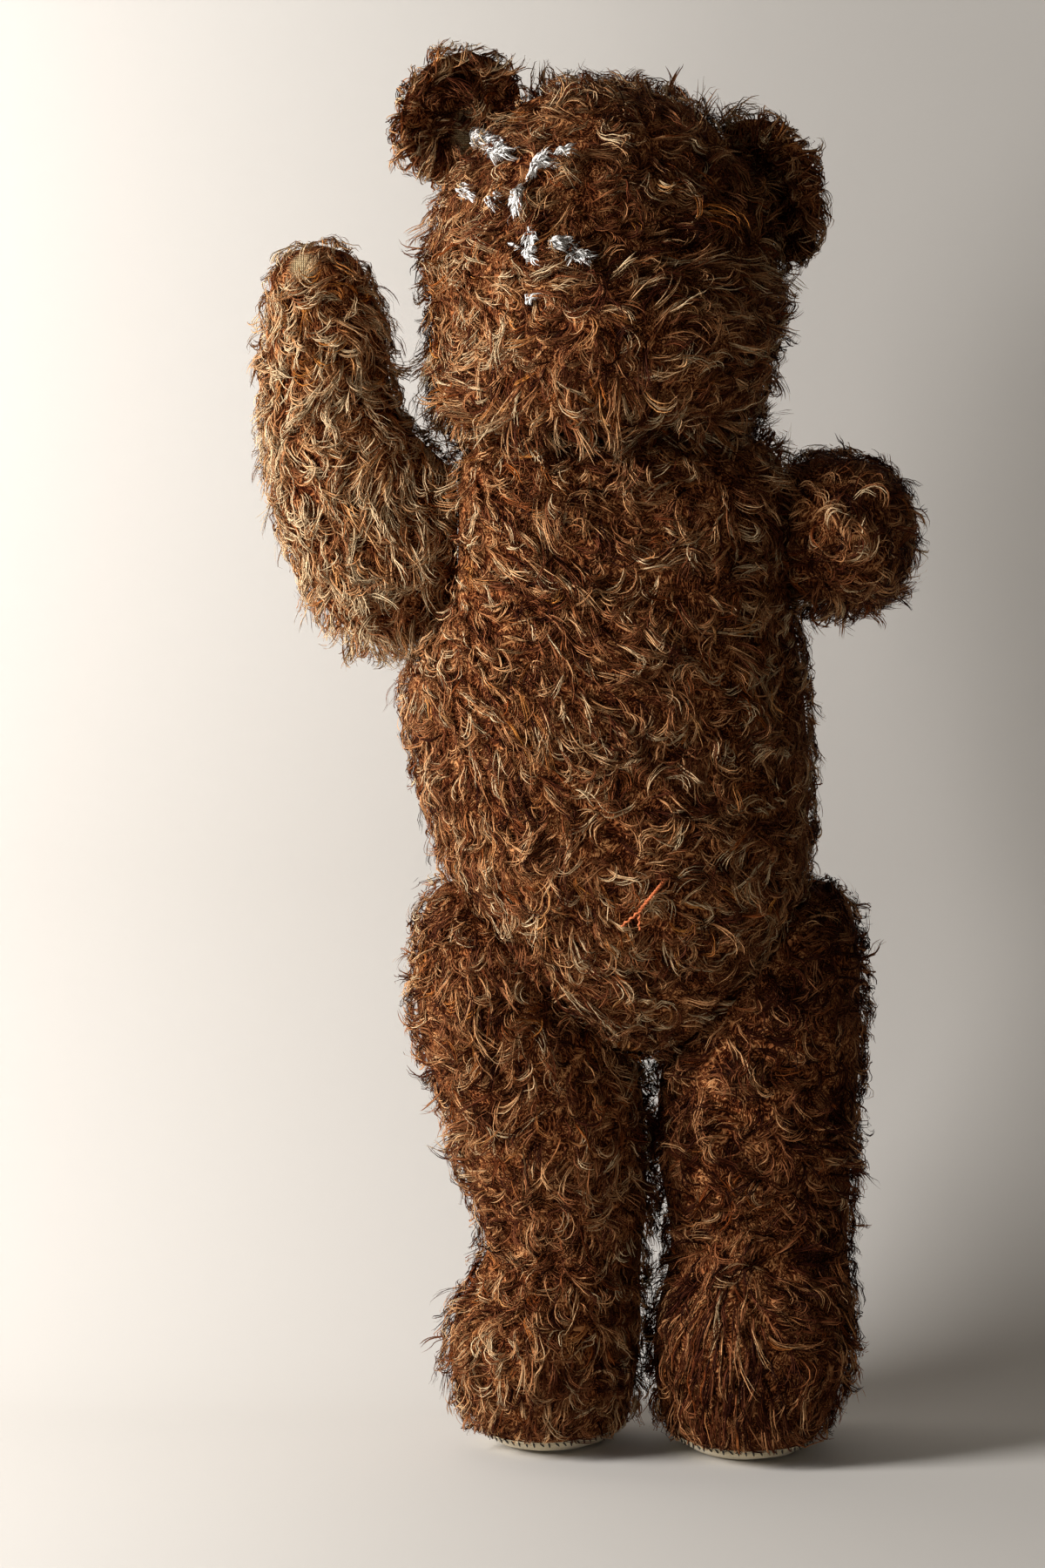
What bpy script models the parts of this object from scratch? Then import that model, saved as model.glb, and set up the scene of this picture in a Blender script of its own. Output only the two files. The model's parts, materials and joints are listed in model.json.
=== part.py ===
"""A disc-jointed teddy bear of worn mohair, standing, with its right arm raised and its left arm turned back.

Each part of the body is a sewn cover with wood-wool stuffing in it. Head, arms and legs hang on the torso by
cotter-pin joints: a hardboard disc and a washer inside the limb, the same inside the torso, and a split pin
through all of them whose ends are curled over. Each foot has a felt sole with a card stiffener behind it.

Frame: metres, +Z up, floor at Z = 0, the bear faces -Y, and its own right side is at -X.
Lengths below are in millimetres until they are scaled by MM.
"""

import math
from collections import namedtuple

import bmesh
import bpy
from mathutils import Matrix, Vector

MM = 0.001

# Driving dimensions, in millimetres.
CENTRE_SHIFT = (23.05, -16.8, 0.0)  # moves the middle of the bear's box over the origin
WALL = 2.0  # cloth of a cover, with the roots of its pile
CLEAR = 0.4  # gap between pieces that touch on the real bear
SEAM_Z = 7.0  # height of the seam between a foot and its felt sole
BOARD = 1.5  # card stiffener behind the sole
DISC = 3.0  # hardboard joint disc
WASHER = 1.0
WASHER_RADIUS = 8.0
WIRE_RADIUS = 0.8  # one leg of a split pin
PIN_HOLE = 2.3
EYE_RADIUS = 3.4
CURL_RADIUS = 3.2
POCKET_DEPTH = 16.5  # room in the stuffing for the joint's metalwork
NECK_Z = 396.1
EAR_THICKNESS = 9.0
THREAD_RADIUS = 0.6

# A cross-section: where it is along the piece, its middle, its half sizes, how boxy it is (2 is an ellipse),
# how far it is turned about the piece's length, and how far the muzzle stands out of its front.
Section = namedtuple("Section", "at x y half_x half_y power turn muzzle", defaults=(2.3, 0.0, 0.0))

TORSO = [
    Section(155.5, -1, 0, 0, 0),
    Section(158, -1, 0, 20, 22),
    Section(166.5, -2, 0, 38, 35),
    Section(179.5, -3, 0, 50, 44),
    Section(193.5, -4, -1, 58, 51),
    Section(208.5, -5.5, -2, 63, 56, 2.4),
    Section(233.5, -9, -3, 70, 61, 2.4),
    Section(261.5, -13.5, -3, 75, 63, 2.4),
    Section(293.5, -17.5, -2, 77, 62, 2.4),
    Section(317.5, -16.5, -1, 73, 60, 2.4),
    Section(338.5, -12.5, 0, 67, 57, 2.6),
    Section(359.5, -12, 1, 66, 54, 2.8),
    Section(378.5, -12, 1, 65.5, 50, 2.9),
    Section(389.5, -12, 1, 60, 44, 2.8),
    Section(394.5, -12, 1, 50, 37, 2.6),
    Section(NECK_Z - CLEAR / 2, -12, 1, 41, 31),
]

HEAD = [
    Section(NECK_Z + CLEAR / 2, -1.5, 0, 49, 39),
    Section(400.5, -3.5, 0, 58.5, 48, 2.7, 0, 5),
    Section(411.5, -2, 0, 61, 53, 2.8, 0, 14),
    Section(425.5, -0.5, 0, 62.5, 56, 2.8, 0, 21),
    Section(440.5, 0, 0, 64.5, 58, 2.8, 0, 21),
    Section(453.5, 0, 0, 65, 59, 2.7, 0, 14),
    Section(463.5, 0, 0, 64.5, 59, 2.6, 0, 3),
    Section(480.5, 0, 0, 61, 57, 2.5),
    Section(496.5, 0, 0, 53, 51, 2.4),
    Section(510.5, 0, 0, 42, 42, 2.3),
    Section(520.5, 0, 0, 30, 30),
    Section(525.5, 0, 0, 17, 17),
    Section(527, 0, 0, 0, 0),
]
HEAD_AXIS = (-18.5, 1.0)
HEAD_YAW = 14.0  # the face looks a little to the bear's left
MUZZLE_HALF_WIDTH = 44.0

# Arms lie along their own Z, from the end above the shoulder joint (negative) to the paw, with the joint at 0.
# Their X is measured from the face that meets the torso, outwards.
RIGHT_ARM = [
    Section(-42.5, 27, 0, 0, 0),
    Section(-41, 26, 0, 9, 10),
    Section(-35.5, 25, 0, 18.5, 19.5),
    Section(-27, 25, 0, 26.5, 26),
    Section(-14, 27, 0, 33.5, 28.5),
    Section(2, 29, 0, 38, 29),
    Section(17, 32, 0, 38, 28.5),
    Section(29, 38.5, 1, 33, 27),
    Section(41, 47, 2, 26.5, 24.5),
    Section(57, 50, 2, 24.2, 22.5),
    Section(75, 50, 1, 23, 21.5),
    Section(90, 51.5, -1, 20.8, 20.5),
    Section(101, 52.5, -3, 17.8, 17),
    Section(108, 53, -4, 12.5, 12),
    Section(111.5, 53, -4, 0, 0),
]
LEFT_ARM = [
    Section(-45, 22, 0, 0, 0),
    Section(-43, 22, 0, 9, 10),
    Section(-37, 22, 0, 17, 19),
    Section(-28, 20, 0, 24, 25),
    Section(-14, 18, 0, 28, 28),
    Section(2, 17, 0, 30, 28.5),
    Section(17, 19, 0, 28, 28),
    Section(29, 23, 1, 25, 26.5),
    Section(41, 28, 2, 21.5, 24.5),
    Section(57, 30.6, 2, 19.9, 22.5),
    Section(75, 31.3, 1, 19.2, 21.5),
    Section(90, 31.5, -1, 18, 20.5),
    Section(101, 31, -3, 15, 17),
    Section(108, 31, -4, 10, 11),
    Section(111, 31, -4, 0, 0),
]

# Legs stand on the floor. `turn` swings the foot's length away from straight ahead.
RIGHT_TOE_OUT = 44.0
LEFT_TOE_OUT = 18.0
RIGHT_LEG = [
    Section(0, -36.8, -5.5, 17.5, 20.5, 2.2, RIGHT_TOE_OUT),
    Section(1.6, -37, -5.8, 22, 25.5, 2.2, RIGHT_TOE_OUT),
    Section(SEAM_Z, -37.8, -6.5, 26, 30, 2.2, RIGHT_TOE_OUT),
    Section(20, -39.4, -8, 31, 36, 2.2, RIGHT_TOE_OUT),
    Section(38, -41, -9, 34.5, 39.5, 2.2, RIGHT_TOE_OUT),
    Section(54, -39, -7, 33.5, 37, 2.2, RIGHT_TOE_OUT),
    Section(66, -35.5, -3.5, 31, 32.5, 2.2, 36),
    Section(76, -32.5, 0, 29.5, 29, 2.2, 26),
    Section(91, -33.5, 1, 33, 31, 2.3, 16),
    Section(110.5, -37, 1, 36.5, 35, 2.3, 7),
    Section(131.5, -39.5, 0, 38.5, 38),
    Section(153.5, -46.5, 0, 41.5, 41),
    Section(171.5, -54, 0, 36.5, 42),
    Section(187.5, -59.5, 0, 31.5, 40),
    Section(200.5, -62, 0, 27, 36),
    Section(211.5, -64.5, 0, 23, 29),
    Section(219.5, -67, 0, 15, 18.5),
    Section(222.5, -68, 0, 0, 0),
]
LEFT_LEG = [
    Section(0, 35.5, -12, 20.5, 25.5, 2.2, -LEFT_TOE_OUT),
    Section(1.6, 35.7, -12.4, 25, 30.5, 2.2, -LEFT_TOE_OUT),
    Section(SEAM_Z, 36, -12.8, 29, 35.5, 2.2, -LEFT_TOE_OUT),
    Section(20, 37.8, -13, 33.5, 40.5, 2.2, -LEFT_TOE_OUT),
    Section(38, 40, -12.5, 37.5, 42, 2.2, -LEFT_TOE_OUT),
    Section(54, 41.5, -9, 37.5, 39, 2.2, -14),
    Section(67, 43.5, -4, 36, 34.5, 2.2, -9),
    Section(76.5, 43.5, 0, 34.5, 32, 2.3, -4),
    Section(91, 43, 1, 35.5, 33),
    Section(110.5, 41.5, 1, 38, 35.5),
    Section(131.5, 42, 0, 39, 38),
    Section(153.5, 44, 0, 38.5, 41),
    Section(171.5, 47.5, 0, 34.5, 42),
    Section(187.5, 51, 0, 31.5, 40),
    Section(200.5, 53, 0, 28, 36),
    Section(211.5, 55.5, 0, 23, 29),
    Section(219.5, 58, 0, 15, 18),
    Section(222.5, 59, 0, 0, 0),
]

# A joint: where its two covers meet, the way from the torso into the limb, and the size of its discs.
Joint = namedtuple("Joint", "name centre axis disc_radius")


def hip_axis(side, tilt):
    """The way from the torso into a thigh, on the bear's right (-1) or left (1), tilted down by degrees."""
    return Vector((side * math.cos(math.radians(tilt)), 0, -math.sin(math.radians(tilt))))


NECK = Joint("neck", Vector((-16.0, 1.0, NECK_Z)), Vector((0, 0, 1)), 20.0)
RIGHT_SHOULDER = Joint("right_shoulder", Vector((-74.2, 1.0, 355.5)), Vector((-1, 0, 0)), 17.0)
LEFT_SHOULDER = Joint("left_shoulder", Vector((51.8, 1.0, 357.5)), Vector((1, 0, 0)), 17.0)
RIGHT_HIP = Joint("right_hip", Vector((-44.0, 0.0, 191.0)), hip_axis(-1, 43), 21.0)
LEFT_HIP = Joint("left_hip", Vector((39.0, 0.0, 192.5)), hip_axis(1, 40), 21.0)
RIGHT_ARM_LIFT = 0.0  # turned about X from straight up, towards the front
LEFT_ARM_LIFT = -95.0  # turned back, and a little down

SHOULDER_FLAT = 34.0  # radius of the flat on the torso under an arm
RIGHT_FLARE = math.radians(45)  # how the torso swells out round that flat, under the arm
LEFT_FLARE = math.radians(35)
HIP_FLAT = 30.0

# Ears: middle, half width, half height, and the way that the cupped side faces.
Ear = namedtuple("Ear", "name centre half_width half_height facing lean")
RIGHT_EAR = Ear("right_ear", (-74.0, 3.0, 515.0), 25.0, 26.5, (0.25, -0.95, -0.1), -28.0)
LEFT_EAR = Ear("left_ear", (47.0, 3.0, 488.0), 22.0, 29.5, (-0.45, -0.88, -0.1), 20.0)

# The mending thread: how far across and up the belly each point is, and how far it stands off the cover.
BELLY_THREAD = [(8.5, 236.5, 1.0), (4.0, 232.0, 2.2), (-1.0, 226.0, 3.0), (-6.5, 220.0, 3.2), (-12.5, 213.5, 3.0)]


def clear_scene():
    for found in list(bpy.data.objects):
        bpy.data.objects.remove(found)


def material(name, colour, roughness, metallic=0.0):
    made = bpy.data.materials.get(name) or bpy.data.materials.new(name)
    made.use_nodes = True
    shader = made.node_tree.nodes["Principled BSDF"]
    shader.inputs["Base Color"].default_value = (*colour, 1.0)
    shader.inputs["Roughness"].default_value = roughness
    shader.inputs["Metallic"].default_value = metallic
    return made


def mohair():
    return material("mohair", (0.25, 0.14, 0.07), 0.95)


def wood_wool():
    return material("wood_wool", (0.62, 0.48, 0.28), 0.95)


def felt():
    return material("felt", (0.72, 0.62, 0.42), 0.95)


def card():
    return material("card", (0.45, 0.36, 0.24), 0.9)


def hardboard():
    return material("hardboard", (0.28, 0.18, 0.10), 0.8)


def steel():
    return material("steel", (0.45, 0.43, 0.40), 0.45, 1.0)


def red_thread():
    return material("red_thread", (0.55, 0.13, 0.03), 0.8)


def object_of(mesh_data, name, finish=None, helper=False):
    """Puts a bmesh in the scene, as a shown piece with its finish or as a hidden helper."""
    bmesh.ops.recalc_face_normals(mesh_data, faces=mesh_data.faces)
    mesh = bpy.data.meshes.new(name)
    mesh_data.to_mesh(mesh)
    mesh_data.free()
    made = bpy.data.objects.new(name, mesh)
    bpy.context.scene.collection.objects.link(made)
    if finish:
        mesh.materials.append(finish)
        mesh.shade_smooth()
        mesh.set_sharp_from_angle(angle=math.radians(50))
    if helper:
        made.hide_render = True
        made.display_type = "WIRE"
    return made


def section_point(section, angle):
    """A point of a section's outline, in millimetres, before the piece is placed."""
    cosine, sine = math.cos(angle), math.sin(angle)
    exponent = 2 / section.power
    across = section.half_x * math.copysign(abs(cosine) ** exponent, cosine)
    along = section.half_y * math.copysign(abs(sine) ** exponent, sine)
    if section.muzzle and along < 0:
        along -= section.muzzle * math.exp(-((across / MUZZLE_HALF_WIDTH) ** 4))
    turn = math.radians(-section.turn)
    return Vector(
        (
            section.x + across * math.cos(turn) - along * math.sin(turn),
            section.y + across * math.sin(turn) + along * math.cos(turn),
            section.at,
        )
    )


def loft(sections, around, place=None, inset=0.0):
    """A closed skin over the sections, moved inwards by inset along its own normals."""
    made = bmesh.new()
    rings = []
    for section in sections:
        if section.half_x == 0:
            rings.append([made.verts.new((section.x, section.y, section.at))])
        else:
            rings.append(
                [made.verts.new(section_point(section, 2 * math.pi * k / around)) for k in range(around)]
            )
    for lower, upper in zip(rings, rings[1:]):
        for k in range(around):
            following = (k + 1) % around
            if len(lower) == 1:
                made.faces.new((lower[0], upper[following], upper[k]))
            elif len(upper) == 1:
                made.faces.new((lower[k], lower[following], upper[0]))
            else:
                made.faces.new((lower[k], lower[following], upper[following], upper[k]))
    for end, turned in ((rings[0], True), (rings[-1], False)):
        if len(end) > 1:
            made.faces.new(end[::-1] if turned else end)
    bmesh.ops.recalc_face_normals(made, faces=made.faces)
    bmesh.ops.triangulate(made, faces=made.faces)
    if inset:
        made.normal_update()
        moved = [vert.co - vert.normal * inset * min(vert.calc_shell_factor(), 1.5) for vert in made.verts]
        for vert, point in zip(made.verts, moved):
            vert.co = point
    if place is not None:
        made.transform(place)
    made.transform(Matrix.Scale(MM, 4))
    return made


def along_axis(joint, offset=0.0):
    """A frame in metres whose Z runs from the torso into the limb, at an offset in millimetres along it."""
    middle = (joint.centre + joint.axis * offset) * MM
    return Matrix.Translation(middle) @ joint.axis.to_track_quat("Z", "Y").to_matrix().to_4x4()


def turned(profile, steps, place):
    """A solid of revolution about Z from (radius, height) points in millimetres, listed up its outer side."""
    made = bmesh.new()
    rings = []
    for radius, height in profile:
        if radius == 0:
            rings.append([made.verts.new((0, 0, height * MM))])
            continue
        ring = []
        for k in range(steps):
            angle = 2 * math.pi * k / steps
            ring.append(
                made.verts.new((radius * MM * math.cos(angle), radius * MM * math.sin(angle), height * MM))
            )
        rings.append(ring)
    for lower, upper in zip(rings, rings[1:]):
        for k in range(steps):
            following = (k + 1) % steps
            made.faces.new((lower[k], lower[following], upper[following], upper[k]))
    made.faces.new(rings[0][::-1])
    made.faces.new(rings[-1])
    made.transform(place)
    return made


def washer_like(name, outer, thickness, place, steps, finish):
    """A flat ring with the pin's hole in it, from z = 0 up to its thickness."""
    made = bmesh.new()
    rings = []
    for radius, height in ((outer, 0), (outer, thickness), (PIN_HOLE, thickness), (PIN_HOLE, 0)):
        ring = []
        for k in range(steps):
            angle = 2 * math.pi * k / steps
            ring.append(
                made.verts.new((radius * MM * math.cos(angle), radius * MM * math.sin(angle), height * MM))
            )
        rings.append(ring)
    for first, second in zip(rings, rings[1:] + rings[:1]):
        for k in range(steps):
            following = (k + 1) % steps
            made.faces.new((first[k], first[following], second[following], second[k]))
    made.transform(place)
    return object_of(made, name, finish)


def boolean(target, operation, other):
    modifier = target.modifiers.new(f"{operation}_{other.name}", "BOOLEAN")
    modifier.operation = operation
    modifier.solver = "EXACT"
    modifier.object = other


def helper(mesh_data, name):
    return object_of(mesh_data, name, helper=True)


def cylinder(radius, low, high, place, steps=16):
    return turned([(radius, low), (radius, high)], steps, place)


def torso_seat(joint, flat_radius, slope, depth=0.0):
    """What is cut from the torso at a joint: a flat, and a cone round it. Depth moves the cut into the torso."""
    reach = 70
    shape = [(flat_radius, 0), (flat_radius + reach, reach * math.tan(slope)), (flat_radius + reach, 95)]
    return turned(shape, 24, along_axis(joint, -CLEAR / 2 - depth))


def limb_seat(joint, depth=0.0):
    """What is cut from a limb at a joint, flat all over. Depth moves the cut into the limb."""
    return cylinder(90, -60, 0, along_axis(joint, CLEAR / 2 + depth), 24)


def pocket(joint, side):
    """Room in the stuffing for a joint's metalwork, on the limb's side (1) or the torso's (-1)."""
    low, high = sorted((side * POCKET_DEPTH, side * -6.0))
    return cylinder(joint.disc_radius + 0.7, low, high, along_axis(joint))


def cover_and_stuffing(name, sections, around, place, cuts, holes, pockets, split_sole=False):
    """A sewn cover with a wall, and the stuffing in it.

    cuts are functions of a depth that give what is cut away at each seat, and holes are the pins' holes.
    """
    cavity = helper(loft(sections, around, place, WALL), f"{name}_cavity")
    cover = object_of(loft(sections, around, place), f"{name}_cover", mohair())
    stuffing = object_of(
        loft(sections, around, place, WALL + 2 * CLEAR), f"{name}_stuffing", wood_wool()
    )
    for k, cut in enumerate(cuts):
        boolean(cavity, "DIFFERENCE", helper(cut(WALL), f"{name}_cavity_cut_{k}"))
        outer_cut = helper(cut(0.0), f"{name}_cover_cut_{k}")
        boolean(cover, "DIFFERENCE", outer_cut)
        boolean(stuffing, "DIFFERENCE", helper(cut(WALL + CLEAR), f"{name}_stuffing_cut_{k}"))
    boolean(cover, "DIFFERENCE", cavity)
    for k, hole in enumerate(holes):
        boolean(cover, "DIFFERENCE", helper(hole, f"{name}_hole_{k}"))
    for k, room in enumerate(pockets):
        boolean(stuffing, "DIFFERENCE", helper(room, f"{name}_pocket_{k}"))
    if split_sole:
        sole_and_board(name, sections, around, place, cavity, cover, stuffing)
    return cover


def slab(name, low, high, reach=0.3):
    """A wide block between two heights in metres."""
    made = bmesh.new()
    bmesh.ops.create_cube(made, size=1)
    made.transform(Matrix.Diagonal((reach * 2, reach * 2, high - low, 1)))
    made.transform(Matrix.Translation((0, 0, (low + high) / 2)))
    return helper(made, name)


def sole_and_board(name, sections, around, place, cavity, cover, stuffing):
    """Splits the cover at the sole's seam, and adds the felt sole and its card stiffener."""
    seam = SEAM_Z * MM
    below = slab(f"{name}_below_seam", -0.1, seam)
    boolean(cover, "DIFFERENCE", below)
    sole = object_of(loft(sections, around, place), f"{name}_sole", felt())
    boolean(sole, "DIFFERENCE", cavity)
    boolean(sole, "DIFFERENCE", slab(f"{name}_above_seam", seam - CLEAR * MM, 0.6))
    board_low = WALL + CLEAR * 0.75
    base = sections[0]
    outline = [
        base._replace(at=board_low, half_x=base.half_x - 1, half_y=base.half_y - 1),
        base._replace(at=board_low + BOARD, half_x=base.half_x - 1, half_y=base.half_y - 1),
    ]
    object_of(loft(outline, around, place), f"{name}_board", card())
    boolean(stuffing, "DIFFERENCE", slab(f"{name}_under_stuffing", -0.1, (board_low + BOARD + CLEAR) * MM))


def split_pin(joint):
    """One wire: up a leg, round the eye in the limb, down the other leg, with both ends curled outwards."""
    spread = WIRE_RADIUS + 0.15
    stack = 2.5 + DISC + CLEAR + WASHER + CLEAR
    eye_middle = stack + EYE_RADIUS
    bend = math.asin(spread / EYE_RADIUS)
    route = []
    for k in range(10):
        angle = -math.pi / 2 + bend + (2 * math.pi - 2 * bend) * k / 9
        route.append((EYE_RADIUS * math.cos(angle), eye_middle + EYE_RADIUS * math.sin(angle)))
    curl = []
    for k in range(9):
        angle = math.radians(215) * k / 8
        curl.append(
            (
                spread + CURL_RADIUS * (1 - math.cos(angle)),
                -stack - 2.4 - CURL_RADIUS * math.sin(angle),
            )
        )
    left_leg = [(-x, z) for x, z in curl[::-1]]
    points = curl[::-1] + route + left_leg[::-1]
    wire = bpy.data.curves.new(f"{joint.name}_pin", "CURVE")
    wire.dimensions = "3D"
    wire.bevel_depth = WIRE_RADIUS * MM
    wire.bevel_resolution = 1
    wire.use_fill_caps = True
    spline = wire.splines.new("POLY")
    spline.points.add(len(points) - 1)
    place = along_axis(joint)
    for point, (x, z) in zip(spline.points, points):
        point.co = (*(place @ Vector((x * MM, 0, z * MM))), 1)
    wire.materials.append(steel())
    made = bpy.data.objects.new(f"{joint.name}_pin", wire)
    bpy.context.scene.collection.objects.link(made)


def joint_hardware(joint):
    """The disc and washer on each side of a joint, and the pin through them."""
    disc_at = CLEAR / 2 + WALL + 0.3
    washer_at = disc_at + DISC + 0.3
    for side, offset in (("limb", 1), ("torso", -1)):
        low = disc_at if offset > 0 else -disc_at - DISC
        washer_like(
            f"{joint.name}_{side}_disc", joint.disc_radius, DISC, along_axis(joint, low), 20, hardboard()
        )
        low = washer_at if offset > 0 else -washer_at - WASHER
        washer_like(
            f"{joint.name}_{side}_washer", WASHER_RADIUS, WASHER, along_axis(joint, low), 12, steel()
        )
    split_pin(joint)


def pin_hole(joint):
    return cylinder(PIN_HOLE, -8, 8, along_axis(joint), 12)


def torso():
    joints = (NECK, RIGHT_SHOULDER, LEFT_SHOULDER, RIGHT_HIP, LEFT_HIP)
    cuts = [
        lambda depth: torso_seat(RIGHT_SHOULDER, SHOULDER_FLAT, RIGHT_FLARE, depth),
        lambda depth: torso_seat(LEFT_SHOULDER, SHOULDER_FLAT, LEFT_FLARE, depth),
        lambda depth: torso_seat(RIGHT_HIP, HIP_FLAT, 0.0, depth),
        lambda depth: torso_seat(LEFT_HIP, HIP_FLAT, 0.0, depth),
    ]
    cover_and_stuffing(
        "torso",
        TORSO,
        24,
        None,
        cuts,
        [pin_hole(joint) for joint in joints],
        [pocket(joint, -1) for joint in joints],
    )


def head_place():
    turn = Matrix.Rotation(math.radians(HEAD_YAW), 4, "Z")
    return Matrix.Translation((*HEAD_AXIS, 0)) @ turn


def head():
    cover_and_stuffing("head", HEAD, 24, head_place(), [], [pin_hole(NECK)], [pocket(NECK, 1)])
    for ear in (RIGHT_EAR, LEFT_EAR):
        ear_of(ear)


def ear_of(ear):
    """A round, cupped ear of two layers of cloth, trimmed where it is sewn to the head."""
    around, rings = 18, 4
    made = bmesh.new()
    faces = []
    for side in (1, -1):
        middle = made.verts.new((0, 0, cup(0, side)))
        loops = []
        for ring in range(1, rings + 1):
            share = math.sin(math.pi / 2 * ring / rings)
            if side == -1 and ring == rings:
                loops.append(faces[0][-1])
                continue
            loop = []
            for k in range(around):
                angle = 2 * math.pi * k / around
                loop.append(
                    made.verts.new(
                        (
                            ear.half_width * share * math.cos(angle),
                            ear.half_height * share * math.sin(angle),
                            cup(share, side),
                        )
                    )
                )
            loops.append(loop)
        faces.append(loops)
        for k in range(around):
            following = (k + 1) % around
            made.faces.new((middle, loops[0][k], loops[0][following]))
            for inner, outer in zip(loops, loops[1:]):
                made.faces.new((inner[k], outer[k], outer[following], inner[following]))
    facing = Vector(ear.facing).to_track_quat("Z", "Y").to_matrix().to_4x4()
    place = Matrix.Translation(ear.centre) @ facing @ Matrix.Rotation(math.radians(ear.lean), 4, "Z")
    made.transform(place)
    made.transform(Matrix.Scale(MM, 4))
    piece = object_of(made, ear.name, mohair())
    boolean(piece, "DIFFERENCE", helper(loft(HEAD, 24, head_place(), -CLEAR), f"{ear.name}_head_cut"))


def cup(share, side):
    """How far the ear's front (1) or back (-1) cloth stands forward at a share of its radius."""
    hollow = 9.0 * share**2
    return hollow + side * EAR_THICKNESS / 2 * math.sqrt(max(0.0, 1 - share**4))


def arm(name, sections, joint, lift):
    outward = joint.axis.x
    place = (
        Matrix.Translation(joint.centre)
        @ Matrix.Rotation(math.radians(lift), 4, "X")
        @ Matrix.Diagonal((outward, 1, 1, 1))
    )
    cover_and_stuffing(
        name,
        sections,
        18,
        place,
        [lambda depth: limb_seat(joint, depth)],
        [pin_hole(joint)],
        [pocket(joint, 1)],
    )


def leg(name, sections, joint):
    cover_and_stuffing(
        name,
        sections,
        20,
        None,
        [lambda depth: limb_seat(joint, depth)],
        [pin_hole(joint)],
        [pocket(joint, 1)],
        split_sole=True,
    )


def belly_front(x, z):
    """How far forward the torso's cover is at a place across and up it, in millimetres."""
    above = next(k for k, section in enumerate(TORSO) if section.at > z)
    low, high = TORSO[above - 1], TORSO[above]
    share = (z - low.at) / (high.at - low.at)
    middle, half_x, half_y, y = (
        a + (b - a) * share
        for a, b in ((low.x, high.x), (low.half_x, high.half_x), (low.half_y, high.half_y), (low.y, high.y))
    )
    return y - half_y * (1 - abs((x - middle) / half_x) ** low.power) ** (1 / low.power)


def belly_thread():
    """A loose end of mending thread, lying down the belly from the stitch that holds it."""
    thread = bpy.data.curves.new("belly_thread", "CURVE")
    thread.dimensions = "3D"
    thread.bevel_depth = THREAD_RADIUS * MM
    thread.bevel_resolution = 1
    thread.use_fill_caps = True
    spline = thread.splines.new("POLY")
    spline.points.add(len(BELLY_THREAD) - 1)
    for point, (x, z, lift) in zip(spline.points, BELLY_THREAD):
        point.co = (x * MM, (belly_front(x, z) - lift) * MM, z * MM, 1)
    thread.materials.append(red_thread())
    made = bpy.data.objects.new("belly_thread", thread)
    bpy.context.scene.collection.objects.link(made)


def pivot(name, centre, parent=None):
    made = bpy.data.objects.new(name, None)
    bpy.context.scene.collection.objects.link(made)
    made.location = centre
    made.parent = parent
    return made


def hang_on_joints():
    """Puts every piece under the bear, and every piece that turns under an empty at its joint."""
    pieces = list(bpy.data.objects)
    bear = pivot("bear", Vector(CENTRE_SHIFT) * MM)
    turning = [
        (NECK, ("head", "right_ear", "left_ear")),
        (RIGHT_SHOULDER, ("right_arm",)),
        (LEFT_SHOULDER, ("left_arm",)),
        (RIGHT_HIP, ("right_leg",)),
        (LEFT_HIP, ("left_leg",)),
    ]
    for joint, stems in turning:
        turned_by = pivot(f"{joint.name}_joint", joint.centre * MM, bear)
        for piece in pieces:
            if piece.name.startswith((*stems, f"{joint.name}_limb")):
                piece.parent = turned_by
                piece.matrix_parent_inverse = Matrix.Translation(-joint.centre * MM)
    for piece in pieces:
        if piece.parent is None:
            piece.parent = bear


def main():
    clear_scene()
    torso()
    head()
    arm("right_arm", RIGHT_ARM, RIGHT_SHOULDER, RIGHT_ARM_LIFT)
    arm("left_arm", LEFT_ARM, LEFT_SHOULDER, LEFT_ARM_LIFT)
    leg("right_leg", RIGHT_LEG, RIGHT_HIP)
    leg("left_leg", LEFT_LEG, LEFT_HIP)
    for joint in (NECK, RIGHT_SHOULDER, LEFT_SHOULDER, RIGHT_HIP, LEFT_HIP):
        joint_hardware(joint)
    belly_thread()
    hang_on_joints()


main()
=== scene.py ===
# %% [markdown]
# # A worn mohair teddy bear
#
# This lesson dresses a packed, jointed bear: the frame gives each part of its body as a plain solid, and the
# cells below give it a cloth skin, a matted pile of many thousand strands, felt soles, stitches and a loose thread.
# Everything is in metres, in the frame's own coordinates: the bear faces -Y and stands on Z = 0.

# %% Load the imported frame
import json
import math
from functools import partial

import bmesh
import bpy
import numpy as np
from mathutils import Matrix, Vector, noise
from mathutils.bvhtree import BVHTree


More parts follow.
